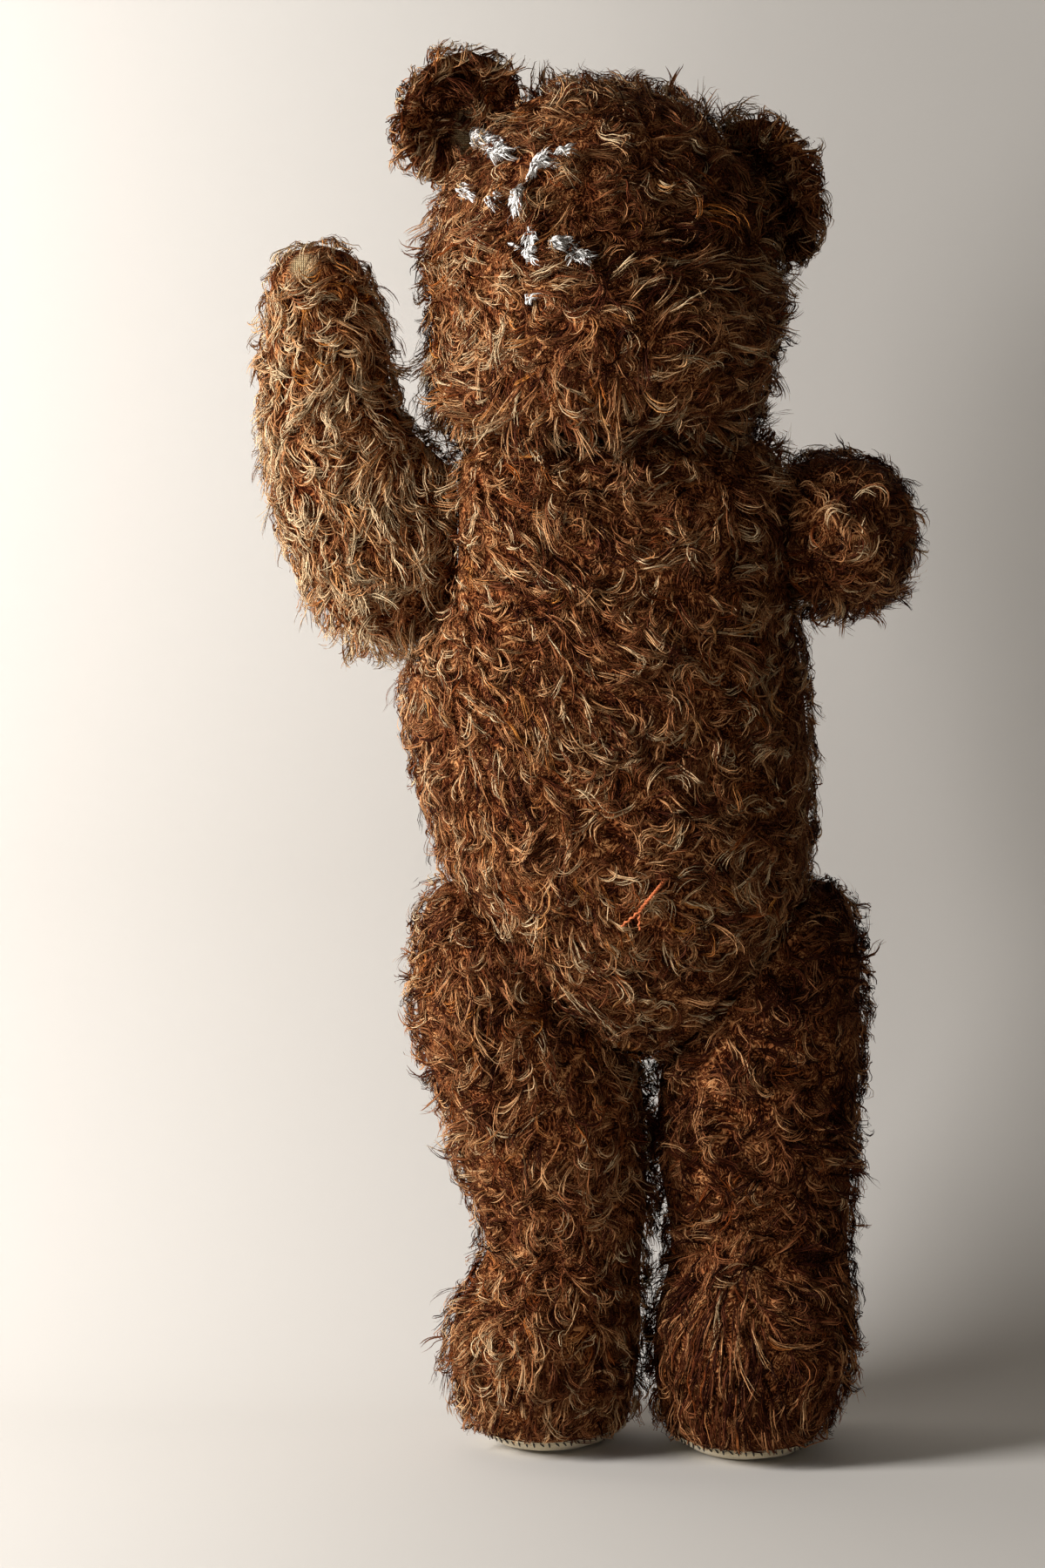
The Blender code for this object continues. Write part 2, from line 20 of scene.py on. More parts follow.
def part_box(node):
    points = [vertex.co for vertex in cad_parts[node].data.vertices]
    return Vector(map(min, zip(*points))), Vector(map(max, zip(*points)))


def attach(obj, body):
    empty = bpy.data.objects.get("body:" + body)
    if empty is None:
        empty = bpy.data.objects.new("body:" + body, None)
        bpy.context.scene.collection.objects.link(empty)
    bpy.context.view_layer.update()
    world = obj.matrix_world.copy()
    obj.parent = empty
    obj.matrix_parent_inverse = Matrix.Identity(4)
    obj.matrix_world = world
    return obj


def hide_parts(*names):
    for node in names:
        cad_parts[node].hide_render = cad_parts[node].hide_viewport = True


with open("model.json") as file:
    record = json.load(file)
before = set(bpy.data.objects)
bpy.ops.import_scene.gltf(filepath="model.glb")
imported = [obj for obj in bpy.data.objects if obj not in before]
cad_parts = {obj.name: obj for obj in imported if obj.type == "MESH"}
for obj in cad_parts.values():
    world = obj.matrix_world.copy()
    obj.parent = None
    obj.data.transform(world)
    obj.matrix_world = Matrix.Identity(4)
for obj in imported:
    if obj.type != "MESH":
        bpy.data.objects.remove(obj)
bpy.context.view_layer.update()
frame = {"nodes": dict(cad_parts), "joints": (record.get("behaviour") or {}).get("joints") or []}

MM = 0.001
FULL_TURN = 2 * math.pi
scene = bpy.context.scene

# %% [markdown]
# ## Camera
#
# The bear is seen nearly level, from straight ahead, with a long lens, so its legs and head keep their proportions.
# The whole bear fills the height of an upright frame.

# %% The camera
SENSOR_WIDTH = 36
FRAME_HEIGHT = 0.612  # of what the camera sees at the bear, from top to bottom
CAMERA_DISTANCE = 1.9
CAMERA_RISE = math.radians(8)
LOOK_AT = Vector((-0.0262, 0.0, 0.257))


def in_scene(name, data):
    """A new object of the scene, at the origin."""
    made = bpy.data.objects.new(name, data)
    scene.collection.objects.link(made)
    return made


camera = in_scene("camera", bpy.data.cameras.new("camera"))
camera.data.sensor_width = SENSOR_WIDTH
camera.data.lens = SENSOR_WIDTH * CAMERA_DISTANCE / FRAME_HEIGHT
camera.location = LOOK_AT + Vector((0, -math.cos(CAMERA_RISE), math.sin(CAMERA_RISE))) * CAMERA_DISTANCE
camera.rotation_euler = (math.pi / 2 - CAMERA_RISE, 0, 0)
scene.camera = camera
print("lens", round(camera.data.lens), "mm")

# %% [markdown]
# ## Wiring nodes like formulas
#
# A strand's shape and a cloth's pattern are both rules, and rules can be wired up as nodes. The two small classes
# below wrap a node's output so that it can be added and multiplied in the script: each sum makes its own node.

# %% Terms that make nodes


class Term:
    """One output socket in a node tree, which can be used in sums."""

    def __init__(self, wiring, socket):
        self.wiring, self.socket = wiring, socket
        self.is_vector = socket.type in ("VECTOR", "RGBA")

    def join(self, operation, other, swapped):
        other_is_vector = getattr(other, "is_vector", isinstance(other, tuple))
        first, second = (other, self) if swapped else (self, other)
        if not self.is_vector and not other_is_vector:
            return self.wiring.math(operation, first, second)
        if operation == "MULTIPLY" and self.is_vector != other_is_vector:
            operation, first, second = "SCALE", *((self, other) if self.is_vector else (other, self))
        return self.wiring.vector(operation, first, second)


def teach_sign(sign, operation):
    """Lets terms stand on either side of a sign."""
    setattr(Term, f"__{sign}__", lambda term, other: term.join(operation, other, swapped=False))
    setattr(Term, f"__r{sign}__", lambda term, other: term.join(operation, other, swapped=True))


SIGNS = {"add": "ADD", "sub": "SUBTRACT", "mul": "MULTIPLY", "truediv": "DIVIDE", "pow": "POWER"}
for sign, operation in SIGNS.items():
    teach_sign(sign, operation)


def chosen(sockets, name):
    """A socket by its place, or by its name among those that the node's settings have switched on."""
    return sockets[name] if isinstance(name, int) else next(s for s in sockets if s.name == name and s.enabled)


# %% Adding nodes to a tree


class Wiring:
    """Adds nodes to one tree."""

    def __init__(self, tree):
        self.tree = tree

    def add(self, kind, inputs=(), **settings):
        made = self.tree.nodes.new(kind)
        for name, value in settings.items():
            setattr(made, name, value)
        for name, value in inputs.items() if isinstance(inputs, dict) else enumerate(inputs):
            self.give(chosen(made.inputs, name), value)
        return made

    def give(self, socket, value):
        if isinstance(value, Term):
            self.tree.links.new(value.socket, socket)
        else:
            socket.default_value = (*value, 1) if socket.type == "RGBA" else value

    def term(self, made, output=0):
        return Term(self, chosen(made.outputs, output))

    def get(self, kind, inputs=(), output=0, **settings):
        """Adds a node and returns one of its outputs."""
        return self.term(self.add(kind, inputs, **settings), output)

    def math(self, operation, *values, **settings):
        return self.get("ShaderNodeMath", values, operation=operation, **settings)

    def clamp(self, value):
        return self.math("MULTIPLY", value, 1.0, use_clamp=True)

    def vector(self, operation, *values):
        inputs = {0: values[0], "Scale": values[1]} if operation == "SCALE" else values
        return self.get("ShaderNodeVectorMath", inputs, int(operation == "DOT_PRODUCT"), operation=operation)

    def dot(self, first, second):
        return self.vector("DOT_PRODUCT", first, second)

    def joined(self, *values):
        return self.get("ShaderNodeCombineXYZ", values)

    def parts(self, value):
        made = self.add("ShaderNodeSeparateXYZ", (value,))
        return [self.term(made, k) for k in range(3)]

    def noise(self, place_at, scale, detail, output="Fac"):
        return self.get("ShaderNodeTexNoise", {"Vector": place_at, "Scale": scale, "Detail": detail}, output)

    def step(self, value, low, high):
        """0 below low and 1 above high, with a soft rise between them."""
        inputs = {"Value": value, "From Min": low, "From Max": high}
        return self.get("ShaderNodeMapRange", inputs, interpolation_type="SMOOTHSTEP")


# %% [markdown]
# ## Cloth skins
#
# The real bear's skins are cut from woven cloth, sewn, turned and stuffed by hand, so they are full and a little
# lumpy. The frame's covers are coarse shells. Rays are sent from all round towards a line that runs through each
# cover, and where they first meet it they leave the points of an even grid: one clean skin, with no holes.

# %% Small tools for meshes


def coordinates(mesh, name="co"):
    found = np.empty(len(mesh.vertices) * 3)
    mesh.vertices.foreach_get(name, found)
    return found.reshape(-1, 3)


def normals(mesh):
    return coordinates(mesh, "normal")


def place(mesh, points):
    mesh.vertices.foreach_set("co", np.asarray(points, dtype=float).ravel())
    mesh.update()


def opened(mesh):
    """A mesh's points and faces, ready to be changed."""
    made = bmesh.new()
    made.from_mesh(mesh)
    return made


def closed(made, name):
    """The smooth mesh of what was made."""
    mesh = bpy.data.meshes.new(name)
    made.to_mesh(mesh)
    made.free()
    mesh.shade_smooth()
    return mesh


def result_of(piece):
    """The mesh that a piece's modifiers make."""
    depsgraph = bpy.context.evaluated_depsgraph_get()
    return bpy.data.meshes.new_from_object(piece.evaluated_get(depsgraph), depsgraph=depsgraph)


# %% Reading a cover from all round
PLUG_HALF_WIDTH = 3.5 * MM
CURVE_STEPS = 24  # between two given points of a path
ROUGH_STEPS = 60  # enough to measure a path's length
RAY_START = 0.3
MISSED = 0.02  # from the line, where a ray meets nothing
POLE = 0.01  # radians within which a ring is one point


def inside(node, *share):
    """A point at shares of a node's box."""
    low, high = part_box(node)
    return Vector([low[k] + (high[k] - low[k]) * share[k] for k in range(3)])


def hull_tree(nodes, plugs):
    """The nodes' triangles for ray tests, with a small plate over each pin hole."""
    points, faces = [], []
    for name in nodes:
        mesh = frame["nodes"][name].data
        first = len(points)
        points += [vert.co.copy() for vert in mesh.vertices]
        faces += [tuple(first + k for k in face.vertices) for face in mesh.polygons]
    for centre, axis in plugs:
        turn = axis.to_track_quat("Z", "Y")
        faces.append(tuple(range(len(points), len(points) + 4)))
        for x, y in ((-1, -1), (1, -1), (1, 1), (-1, 1)):
            points.append(centre + turn @ (Vector((x, y, 0)) * PLUG_HALF_WIDTH))
    return BVHTree.FromPolygons(points, faces)


def smooth_path(points, steps):
    """Points evenly along a soft curve through a few given ones, with their directions."""
    points = [Vector(p) for p in points]
    ends = [points[0] * 2 - points[1], *points, points[-1] * 2 - points[-2]]
    dense = []
    for k in range(1, len(ends) - 2):
        a, b, c, d = ends[k - 1 : k + 3]
        for t in np.arange(CURVE_STEPS) / CURVE_STEPS:
            t = float(t)
            dense.append(
                0.5 * (2 * b + (c - a) * t + (2 * a - 5 * b + 4 * c - d) * t**2 + (3 * b - a - 3 * c + d) * t**3)
            )
    dense.append(points[-1])
    lengths = np.concatenate([[0], np.cumsum([(q - p).length for p, q in zip(dense, dense[1:])])])
    wanted = np.linspace(0, lengths[-1], steps)
    array = np.array(dense)
    found = [Vector([np.interp(w, lengths, array[:, k]) for k in range(3)]) for w in wanted]
    ways = [(found[min(k + 1, steps - 1)] - found[max(k - 1, 0)]).normalized() for k in range(steps)]
    return found, ways, float(lengths[-1])


def skin_points(tree, route, side, around, cap_rings):
    """Rings of points where rays from outside first meet a cover, from one pole to the other."""
    steps = max(2, round(smooth_path(route, ROUGH_STEPS)[2] / SKIN_SPACING))
    found, ways, _ = smooth_path(route, steps)
    quarter = math.pi / 2
    looks = [(0, quarter * k / cap_rings) for k in range(cap_rings)]
    looks += [(k, quarter) for k in range(steps)]
    looks += [(steps - 1, quarter * (1 + (k + 1) / cap_rings)) for k in range(cap_rings)]
    rings = []
    for k, polar in looks:
        centre, way = found[k], ways[k]
        across = (side - way * side.dot(way)).normalized()
        other = way.cross(across)
        ring = []
        for j in range(around if POLE < polar < math.pi - POLE else 1):
            turn = FULL_TURN * j / around
            out = -way * math.cos(polar) + (across * math.cos(turn) + other * math.sin(turn)) * math.sin(polar)
            hit = tree.ray_cast(centre + out * RAY_START, -out)[0]
            ring.append(hit if hit is not None else centre + out * MISSED)
        rings.append(ring)
    return rings


def skin_from_rings(name, rings):
    """A closed skin over rings of points, with a UV map that goes round and along it in metres."""
    made = bmesh.new()
    rows = [[made.verts.new(point) for point in ring] for ring in rings]
    around = max(map(len, rows))
    map_layer = made.loops.layers.uv.new("cloth")
    lengths = np.cumsum([0.0, *((upper[0] - lower[0]).length for lower, upper in zip(rings, rings[1:]))])
    girth = max(sum((ring[k] - ring[k - 1]).length for k in range(len(ring))) for ring in rings)
    for k in range(len(rows) - 1):
        for j in range(around):
            spots = {}  # of a face's corners; at a pole two corners are one
            for u, v in ((j, k), (j + 1, k), (j + 1, k + 1), (j, k + 1)):
                pole = len(rows[v]) == 1
                spots[rows[v][0 if pole else u % around]] = (j + 0.5 if pole else u, v)
            for loop, (u, v) in zip(made.faces.new(spots).loops, spots.values()):
                loop[map_layer].uv = (u / around * girth, lengths[v])
    bmesh.ops.recalc_face_normals(made, faces=made.faces)
    return in_scene(name, closed(made, name))


# %% [markdown]
# A skin's points are then evened out, as stuffing does under cloth, and given the soft unevenness of a body that
# was stuffed by hand. A leg and its sole are read together, so that the seam between them lies on one smooth
# surface, and are parted at the seam afterwards. The joints' pin holes are closed with plates while the rays look.

# %% Making a skin soft
LUMP_SIZE = 0.022
LUMP_HEIGHT = 0.0011
CLEARING_ROUNDS = 4
STUFFING_GAP = 0.9 * MM  # between the skin and the stuffing, which would show at a rim


def relax(mesh, rounds, reach):
    """Evens out the points and moves none of them further than a reach."""
    neighbours = [[] for _ in mesh.vertices]
    for edge in mesh.edges:
        a, b = edge.vertices
        neighbours[a].append(b)
        neighbours[b].append(a)
    count = np.array([len(n) for n in neighbours])
    first, second = np.repeat(np.arange(len(neighbours)), count), np.concatenate(neighbours).astype(int)
    start = points = coordinates(mesh)
    for _ in range(rounds):
        total = np.zeros_like(points)
        np.add.at(total, first, points[second])
        points = (points + total / count[:, None]) / 2
    far = np.linalg.norm(points - start, axis=1, keepdims=True)
    place(mesh, start + (points - start) * np.minimum(1, reach / np.maximum(far, 1e-9)))


def lumps(mesh, size, seed=0.0):
    """Moves the points along their normals by soft noise."""
    points = coordinates(mesh)
    shift = np.array([noise.noise(Vector(p) / size + Vector((seed, 0, 0))) for p in points])
    place(mesh, points + normals(mesh) * (shift * LUMP_HEIGHT)[:, None])


def clear_the_stuffing(skin, node):
    """Moves the skin outwards where the stuffing would come nearer to it than a small gap."""
    mesh = skin.data
    for _ in range(CLEARING_ROUNDS):
        tree = BVHTree.FromPolygons([vert.co for vert in mesh.vertices], [face.vertices for face in mesh.polygons])
        shift = np.zeros((len(mesh.vertices), 3))
        for vert in frame["nodes"][node].data.vertices:
            spot, way, face, _ = tree.find_nearest(vert.co)
            short = STUFFING_GAP + (vert.co - spot).dot(way)
            if short > 0:
                for k in mesh.polygons[face].vertices:
                    if short > np.linalg.norm(shift[k]):
                        shift[k] = way * short
        place(mesh, coordinates(mesh) + shift)


# %% The skins of the body
SKIN_SPACING = 0.0042
BODY_ROUNDS = 2
BODY_REACH = 1.0 * MM  # no point of a body's skin leaves the cover by more
joint_places = {j["child"]: (Vector(j["pos_m"]), Vector(j["axis"])) for j in frame["joints"]}

# For each body, shares of its cover's box that a line runs through, the points in a ring, and the rings in a cap.
ROUTES = {
    "torso": ([(0.52, 0.5, 0.15), (0.5, 0.5, 0.4), (0.5, 0.5, 0.83)], 84, 15),
    "head": ([(0.5, 0.52, 0.3), (0.5, 0.55, 0.62)], 84, 20),
    "right_arm": ([(0.62, 0.5, 0.22), (0.52, 0.5, 0.45), (0.28, 0.48, 0.66), (0.26, 0.45, 0.9)], 48, 10),
    "left_arm": ([(0.4, 0.2, 0.52), (0.55, 0.5, 0.5), (0.62, 0.9, 0.35)], 48, 10),
    "right_leg": ([(0.58, 0.45, 0.12), (0.62, 0.52, 0.33), (0.55, 0.53, 0.6), (0.32, 0.53, 0.9)], 60, 10),
    "left_leg": ([(0.45, 0.45, 0.12), (0.5, 0.55, 0.35), (0.48, 0.56, 0.62), (0.66, 0.57, 0.9)], 60, 10),
}


def joints_of(body):
    return list(joint_places.values()) if body == "torso" else [joint_places[body]]


def body_skin(name):
    shares, around, cap_rings = ROUTES[name]
    nodes = [f"{name}_cover"] + ([f"{name}_sole"] if name.endswith("leg") else [])
    route = [inside(nodes[0], *share) for share in shares]
    side = Vector((0, 0, 1)) if name == "left_arm" else Vector((0, 1, 0))
    rings = skin_points(hull_tree(nodes, joints_of(name)), route, side, around, cap_rings)
    skin = skin_from_rings(f"{name}_skin", rings)
    relax(skin.data, BODY_ROUNDS, BODY_REACH)
    if not name.endswith("leg"):
        lumps(skin.data, LUMP_SIZE)
    clear_the_stuffing(skin, f"{name}_stuffing")
    low, high = (pick([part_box(node)[k] for node in nodes], axis=0) for k, pick in enumerate((np.min, np.max)))
    past = max(np.max(coordinates(skin.data) - high), np.max(low - coordinates(skin.data)))
    print(skin.name, len(skin.data.polygons), "faces, at most", round(past / MM, 1), "mm past the cover's box")
    return skin


skins = {name: body_skin(name) for name in ROUTES}

# %% [markdown]
# ## Ears
#
# An ear is two rounds of cloth sewn along their edge and turned, so it is one soft, cupped disc. The frame's ear has
# few sides. A copy of it is remeshed to an even skin of small squares and then relaxed, which rounds its corners.

# %% Ear skins
EAR_VOXEL = 0.0016
EAR_ROUNDS = 3
EAR_REACH = 1.0  # no limit, as an ear is far smaller
EAR_LUMP_SEED = 4.0


def ear_skin(node):
    made = opened(frame["nodes"][node].data)
    bmesh.ops.remove_doubles(made, verts=made.verts, dist=1e-6)
    ear = in_scene(f"{node}_skin", closed(made, f"{node}_skin"))
    remesh = ear.modifiers.new("remesh", "REMESH")
    remesh.mode, remesh.voxel_size = "VOXEL", EAR_VOXEL
    mesh = result_of(ear)
    ear.modifiers.clear()
    ear.data = mesh
    relax(mesh, EAR_ROUNDS, EAR_REACH)
    lumps(mesh, LUMP_SIZE / 2, EAR_LUMP_SEED)
    mesh.shade_smooth()
    print(ear.name, len(mesh.polygons), "faces")
    return ear


ears = {node: ear_skin(node) for node in ("right_ear", "left_ear")}

# %% [markdown]
# ## Stage and light
#
# A pale sweep curves from the floor up behind the bear, so no edge shows. It is plain from the front, and clear from
# behind, so the bear's back can be looked at too. One large soft light stands on the bear's right, a little low.

# %% The sweep
SWEEP_BACK = 0.165
SWEEP_BEND = 0.157
SWEEP_RISE = 0.20  # height at which the bend has become upright
SWEEP_HALF_WIDTH = 3.5
SWEEP_HEIGHT = 2.6
SWEEP_FRONT = -3.0
BEND_STEPS = 24


def new_material(name, **values):
    """A material, the wiring of its nodes, and its shader, which takes values such as its roughness."""
    made = bpy.data.materials.new(name)
    made.use_nodes = True
    w = Wiring(made.node_tree)
    shader = made.node_tree.nodes["Principled BSDF"]
    for label, value in values.items():
        w.give(shader.inputs[label.replace("_", " ")], value)
    return made, w, shader


def paper_material():
    made, w, shader = new_material("sweep_paper", Base_Color=(0.585, 0.565, 0.535), Roughness=0.9)
    clear = w.get("ShaderNodeBsdfTransparent")
    backface = w.get("ShaderNodeNewGeometry", output="Backfacing")
    mixed = w.get("ShaderNodeMixShader", (backface, w.term(shader), clear))
    w.give(made.node_tree.nodes["Material Output"].inputs["Surface"], mixed)
    return made


def pale_sweep():
    profile = [(SWEEP_FRONT, 0.0), (SWEEP_BACK - SWEEP_BEND, 0.0)]
    for k in range(1, BEND_STEPS + 1):
        angle = math.pi / 2 * k / BEND_STEPS
        profile.append((SWEEP_BACK - SWEEP_BEND * (1 - math.sin(angle)), SWEEP_RISE * (1 - math.cos(angle))))
    profile += [(SWEEP_BACK, SWEEP_HEIGHT)]
    made = bmesh.new()
    left, right = ([made.verts.new((x, y, z)) for y, z in profile] for x in (-SWEEP_HALF_WIDTH, SWEEP_HALF_WIDTH))
    for k in range(len(profile) - 1):
        made.faces.new((left[k], right[k], right[k + 1], left[k + 1]))
    mesh = closed(made, "sweep")
    mesh.materials.append(paper_material())
    in_scene("sweep", mesh)


pale_sweep()

# %% Lights
MIDDLE = Vector((0.0, 0.0, 0.3))
ROOM_COLOUR, ROOM_STRENGTH = (1.0, 0.89, 0.75, 1), 0.11
LIGHTS = {  # place, what it is aimed at, size, power and colour
    "window": ((-0.95, -0.36, 0.56), (0.0, 0.0, 0.40), (0.35, 0.45), 21.5, (1.0, 0.975, 0.95)),
    "low_front": ((-0.80, -1.35, 0.10), MIDDLE, (0.4, 0.4), 3.0, (1.0, 0.985, 0.95)),
    "back_fill": ((0.5, 2.2, 1.4), MIDDLE, (1.6, 1.6), 9, (0.97, 0.98, 1.0)),
}
for name, (place_at, aim_at, size, power, colour) in LIGHTS.items():
    data = bpy.data.lights.new(name, "AREA")
    data.shape, data.energy, data.color = "RECTANGLE", power, colour
    data.size, data.size_y = size
    light = in_scene(name, data)
    light.location = place_at
    light.rotation_euler = (Vector(aim_at) - Vector(place_at)).to_track_quat("-Z", "Y").to_euler()

world = bpy.data.worlds.new("room")
world.use_nodes = True
room_light = world.node_tree.nodes["Background"].inputs
room_light["Color"].default_value = ROOM_COLOUR
room_light["Strength"].default_value = ROOM_STRENGTH
scene.world = world
scene.view_settings.view_transform = "Standard"
scene.view_settings.look = "None"

# %% [markdown]
# ## What the pile does where
#
# Pile lies the way hands and years have pushed it: down the body and along the limbs, sideways over the muzzle's
# ridge, and straight down the left instep. It is thinner on the back, gone in a patch of the right ear and at the
# tip of the raised paw, and it leaves bare the places where two parts rub at a joint. Along an edge that another part
# meets, as under the head, it hangs over. Each skin carries this as plain attributes that the strands read.

# %% Attributes on the skins
RUBBED_HEIGHT = 3 * MM
RUBBED_RADIUS = 31 * MM
RUBBED_FACING = 0.85  # how nearly the skin has to face along the joint


def give_attributes(mesh, **attributes):
    """Stores numbers or directions on a mesh's points."""
    for name, values in attributes.items():
        values = np.asarray(values, dtype=float)
        kind, field = ("FLOAT", "value") if values.ndim == 1 else ("FLOAT_VECTOR", "vector")
        made = mesh.attributes.get(name) or mesh.attributes.new(name, kind, "POINT")
        made.data.foreach_set(field, values.ravel())


def take_attribute(mesh, name):
    found = np.empty(len(mesh.vertices))
    mesh.attributes[name].data.foreach_get("value", found)
    return found


def near(points, place_at, reach, soft):
    """1 within a reach of a place, falling to 0 over the soft share beyond it."""
    far = np.linalg.norm((points - np.array(place_at)) / np.array(reach), axis=1)
    return np.clip(1 - (far - 1) / soft, 0, 1)


def between(values, low, high):
    """0 below low, 1 above high, and evenly between them."""
    return np.clip((values - low) / (high - low), 0, 1)


def rubbed(points, ways, body):
    """Where a part lies flat against its neighbour at a joint."""
    worn = np.zeros(len(points))
    for centre, axis in joints_of(body):
        axis = np.array(axis) / np.linalg.norm(axis)
        off = points - np.array(centre)
        height = off @ axis
        radius = np.linalg.norm(off - height[:, None] * axis, axis=1)
        flat = (np.abs(height) < RUBBED_HEIGHT) * (np.abs(ways @ axis) > RUBBED_FACING) * (radius < RUBBED_RADIUS)
        worn = np.maximum(worn, flat)
    return worn


def combed(body, points):
    """The way the pile is pushed at each point, before swirls are added."""
    low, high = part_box(f"{body}_cover")
    side = (points[:, 0] - (low.x + high.x) / 2) / (high.x - low.x) * 2
    up = (points[:, 2] - low.z) / (high.z - low.z)
    own_right = between(side, 0.1, -0.5)
    if body == "head":
        ridge = 1 - between(np.abs(up - 0.45), 0.03, 0.12)
        down = 0.3 + 0.6 * own_right - between(up, 0.45, 1.0) * 0.7
        across, rise = side * 0.4 + ridge * 1.1, -down * (1 - ridge)
    elif body == "left_arm":
        across, rise = 0.1, -0.3
    elif body == "right_arm":
        straight = between(up, 0.25, 0.5)
        across, rise = (1 - straight) * 0.3, -0.25 - 0.75 * straight
    elif body == "torso":
        edge = between(side, -0.7, -0.95)
        low_down = between(up, 0.16, 0.06)
        across = own_right * (1 - edge) * 0.8 + low_down * side * 1.5
        rise = (-0.25 - 0.65 * own_right) * (1 - low_down)
    else:
        across, rise = side * 0.2, -0.3 - 0.6 * between(up, 0.5, 0.15)
    backwards = 0.4 if body == "left_arm" else 0.0
    return np.stack([value + np.zeros(len(points)) for value in (across, backwards, rise)], 1)


# %% Dressing the skins of the body
BEHIND = 0.5  # share of the front's pile on the back
INSTEP = Vector((0.049, -0.062, 0.040))
INSTEP_REACH = (0.014, 0.03, 0.034)
INSTEP_COMBED = 0.85
INSTEP_LONGER = 0.9
PAW_TIP, PAW_REACH = inside("right_arm_cover", 0.22, 0.2, 0.95), 0.0035
SEAM_HEIGHT = {leg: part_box(f"{leg}_sole")[1].z for leg in ("right_leg", "left_leg")}
SEAM_BARE = 1.5 * MM
SEAM_SHORT = 12 * MM

# Painted light and shade: parts that the lamp lights are made lighter and parts in its shade darker, and on the
# head the ridge and a cheek are painted lighter and the hollows darker.
BODY_PAINTED_SHADING = {"right_arm": 0.42, "right_leg": -0.03, "left_leg": -0.27, "left_arm": -0.12, "head": 0.02}
HEAD_PAINTED_SHADING = [  # shares of the head's box, reach, and how much lighter
    ((0.68, 0.1, 0.60), (0.045, 0.05, 0.012), -0.16),
    ((0.60, 0.0, 0.49), (0.055, 0.05, 0.004), 0.14),
    ((0.55, 0.0, 0.33), (0.026, 0.05, 0.012), -0.10),
    ((0.10, 0.3, 0.35), (0.020, 0.05, 0.035), 0.07),
]
HANGING = {"head": (0.0, 0.07), "torso": (0.93, 1.0), "right_arm": (0.0, 0.12), "left_arm": (0.0, 0.12)}


def dress(body, mesh):
    """Gives a skin the attributes that its pile and its cloth read."""
    points, ways = coordinates(mesh), normals(mesh)
    nothing = np.zeros(len(points))
    up = points[:, 2]
    share = between(up, up.min(), up.max())
    front = np.clip(0.6 - ways[:, 1] * 1.2, 0, 1)
    tidy = near(points, INSTEP, INSTEP_REACH, 0.5) * INSTEP_COMBED if body == "left_leg" else nothing
    bare = near(points, PAW_TIP, PAW_REACH, 0.8) if body == "right_arm" else nothing
    cover = BEHIND + (1 - BEHIND) * front
    long = 1 + INSTEP_LONGER * tidy
    if body in SEAM_HEIGHT:
        off_seam = up - SEAM_HEIGHT[body]
        cover = cover * (off_seam > SEAM_BARE)
        long = long * (0.3 + 0.7 * between(off_seam, 0, SEAM_SHORT))
    hang = nothing
    if body in HANGING:
        first, last = HANGING[body]
        hang = between(share, first - 0.05, first) * between(share, last + 0.07, last)
    # Painted light and shade, for the whole part and at places on the head.
    faded = nothing + BODY_PAINTED_SHADING.get(body, 0.0)
    for place_at, reach, amount in HEAD_PAINTED_SHADING if body == "head" else ():
        faded += amount * near(points, inside("head_cover", *place_at), reach, 0.8)
    cover = cover * (1 - rubbed(points, ways, body)) * (1 - 0.85 * bare)
    comb = combed(body, points)
    give_attributes(mesh, cover=cover, comb=comb, bare=bare, tidy=tidy, long=long, hang=hang, faded=faded)


for body, skin in skins.items():
    dress(body, skin.data)

# %% [markdown]
# An ear's pile points outwards from its middle, and it is short in the cup, where painted shade darkens it;
# painted light makes the rest of the ear a little lighter. The right ear has lost its pile low down on the inner
# side, where the woven backing shows, and at its upper outer edge.

# %% Dressing the ears
BALD_PATCHES = {  # shares of the ear's box, and reach
    "right_ear": [((0.56, 0.57, 0.34), (0.005, 0.008, 0.0095)), ((0.12, 0.3, 0.84), (0.003, 0.003, 0.003))],
    "left_ear": [],
}
EAR_COMB = 25
EAR_DROOP = (0, 0, -0.2)


def dress_ear(node, mesh):
    points = coordinates(mesh)
    in_front = normals(mesh)[:, 1] < 0
    nothing = np.zeros(len(points))
    middle = np.array(inside(node, 0.5, 0.5, 0.5))
    outwards = points - middle
    share = np.linalg.norm(outwards[:, [0, 2]], axis=1) / (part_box(node)[1].z - middle[2])
    bare = nothing
    for place_at, reach in BALD_PATCHES[node]:
        bare = np.maximum(bare, near(points, inside(node, *place_at), reach, 0.6))
    # Painted shade in the ear's cup, and painted light over the rest of the ear.
    cup_shade = np.where(in_front, between(share, 0.85, 0.55), 0)
    long = np.where(in_front, 0.65 + 0.35 * share, 0.9)
    comb = outwards * EAR_COMB + np.array(EAR_DROOP)
    give_attributes(mesh, cover=1 - 0.95 * bare, comb=comb, bare=bare, tidy=nothing, long=long)
    give_attributes(mesh, hang=nothing, faded=0.08 - 0.26 * cup_shade)


for node, ear in ears.items():
    dress_ear(node, ear.data)

# %% [markdown]
# ## Mohair strands
#
# Mohair is woven so that tufts of long, shiny strands stand up from a cloth backing. On this bear they have felted
# into locks: a few strands that start together, lie over, and curl the same way. Points are scattered on a skin,
# each is doubled into the strands of a lock, and each strand is a narrow ribbon that a formula bends.
# The curve keeps to the skin below it, so pile hugs a thin arm as well as a broad belly.

# %% Pieces of node trees


def random_value(w, low, high, identity, seed):
    inputs = {"Min": low, "Max": high, "ID": identity, "Seed": seed}
    return w.get("FunctionNodeRandomValue", inputs, "Value", data_type="FLOAT")


def stored(w, name, kind="FLOAT"):
    return w.get("GeometryNodeInputNamedAttribute", {"Name": name}, "Attribute", data_type=kind)


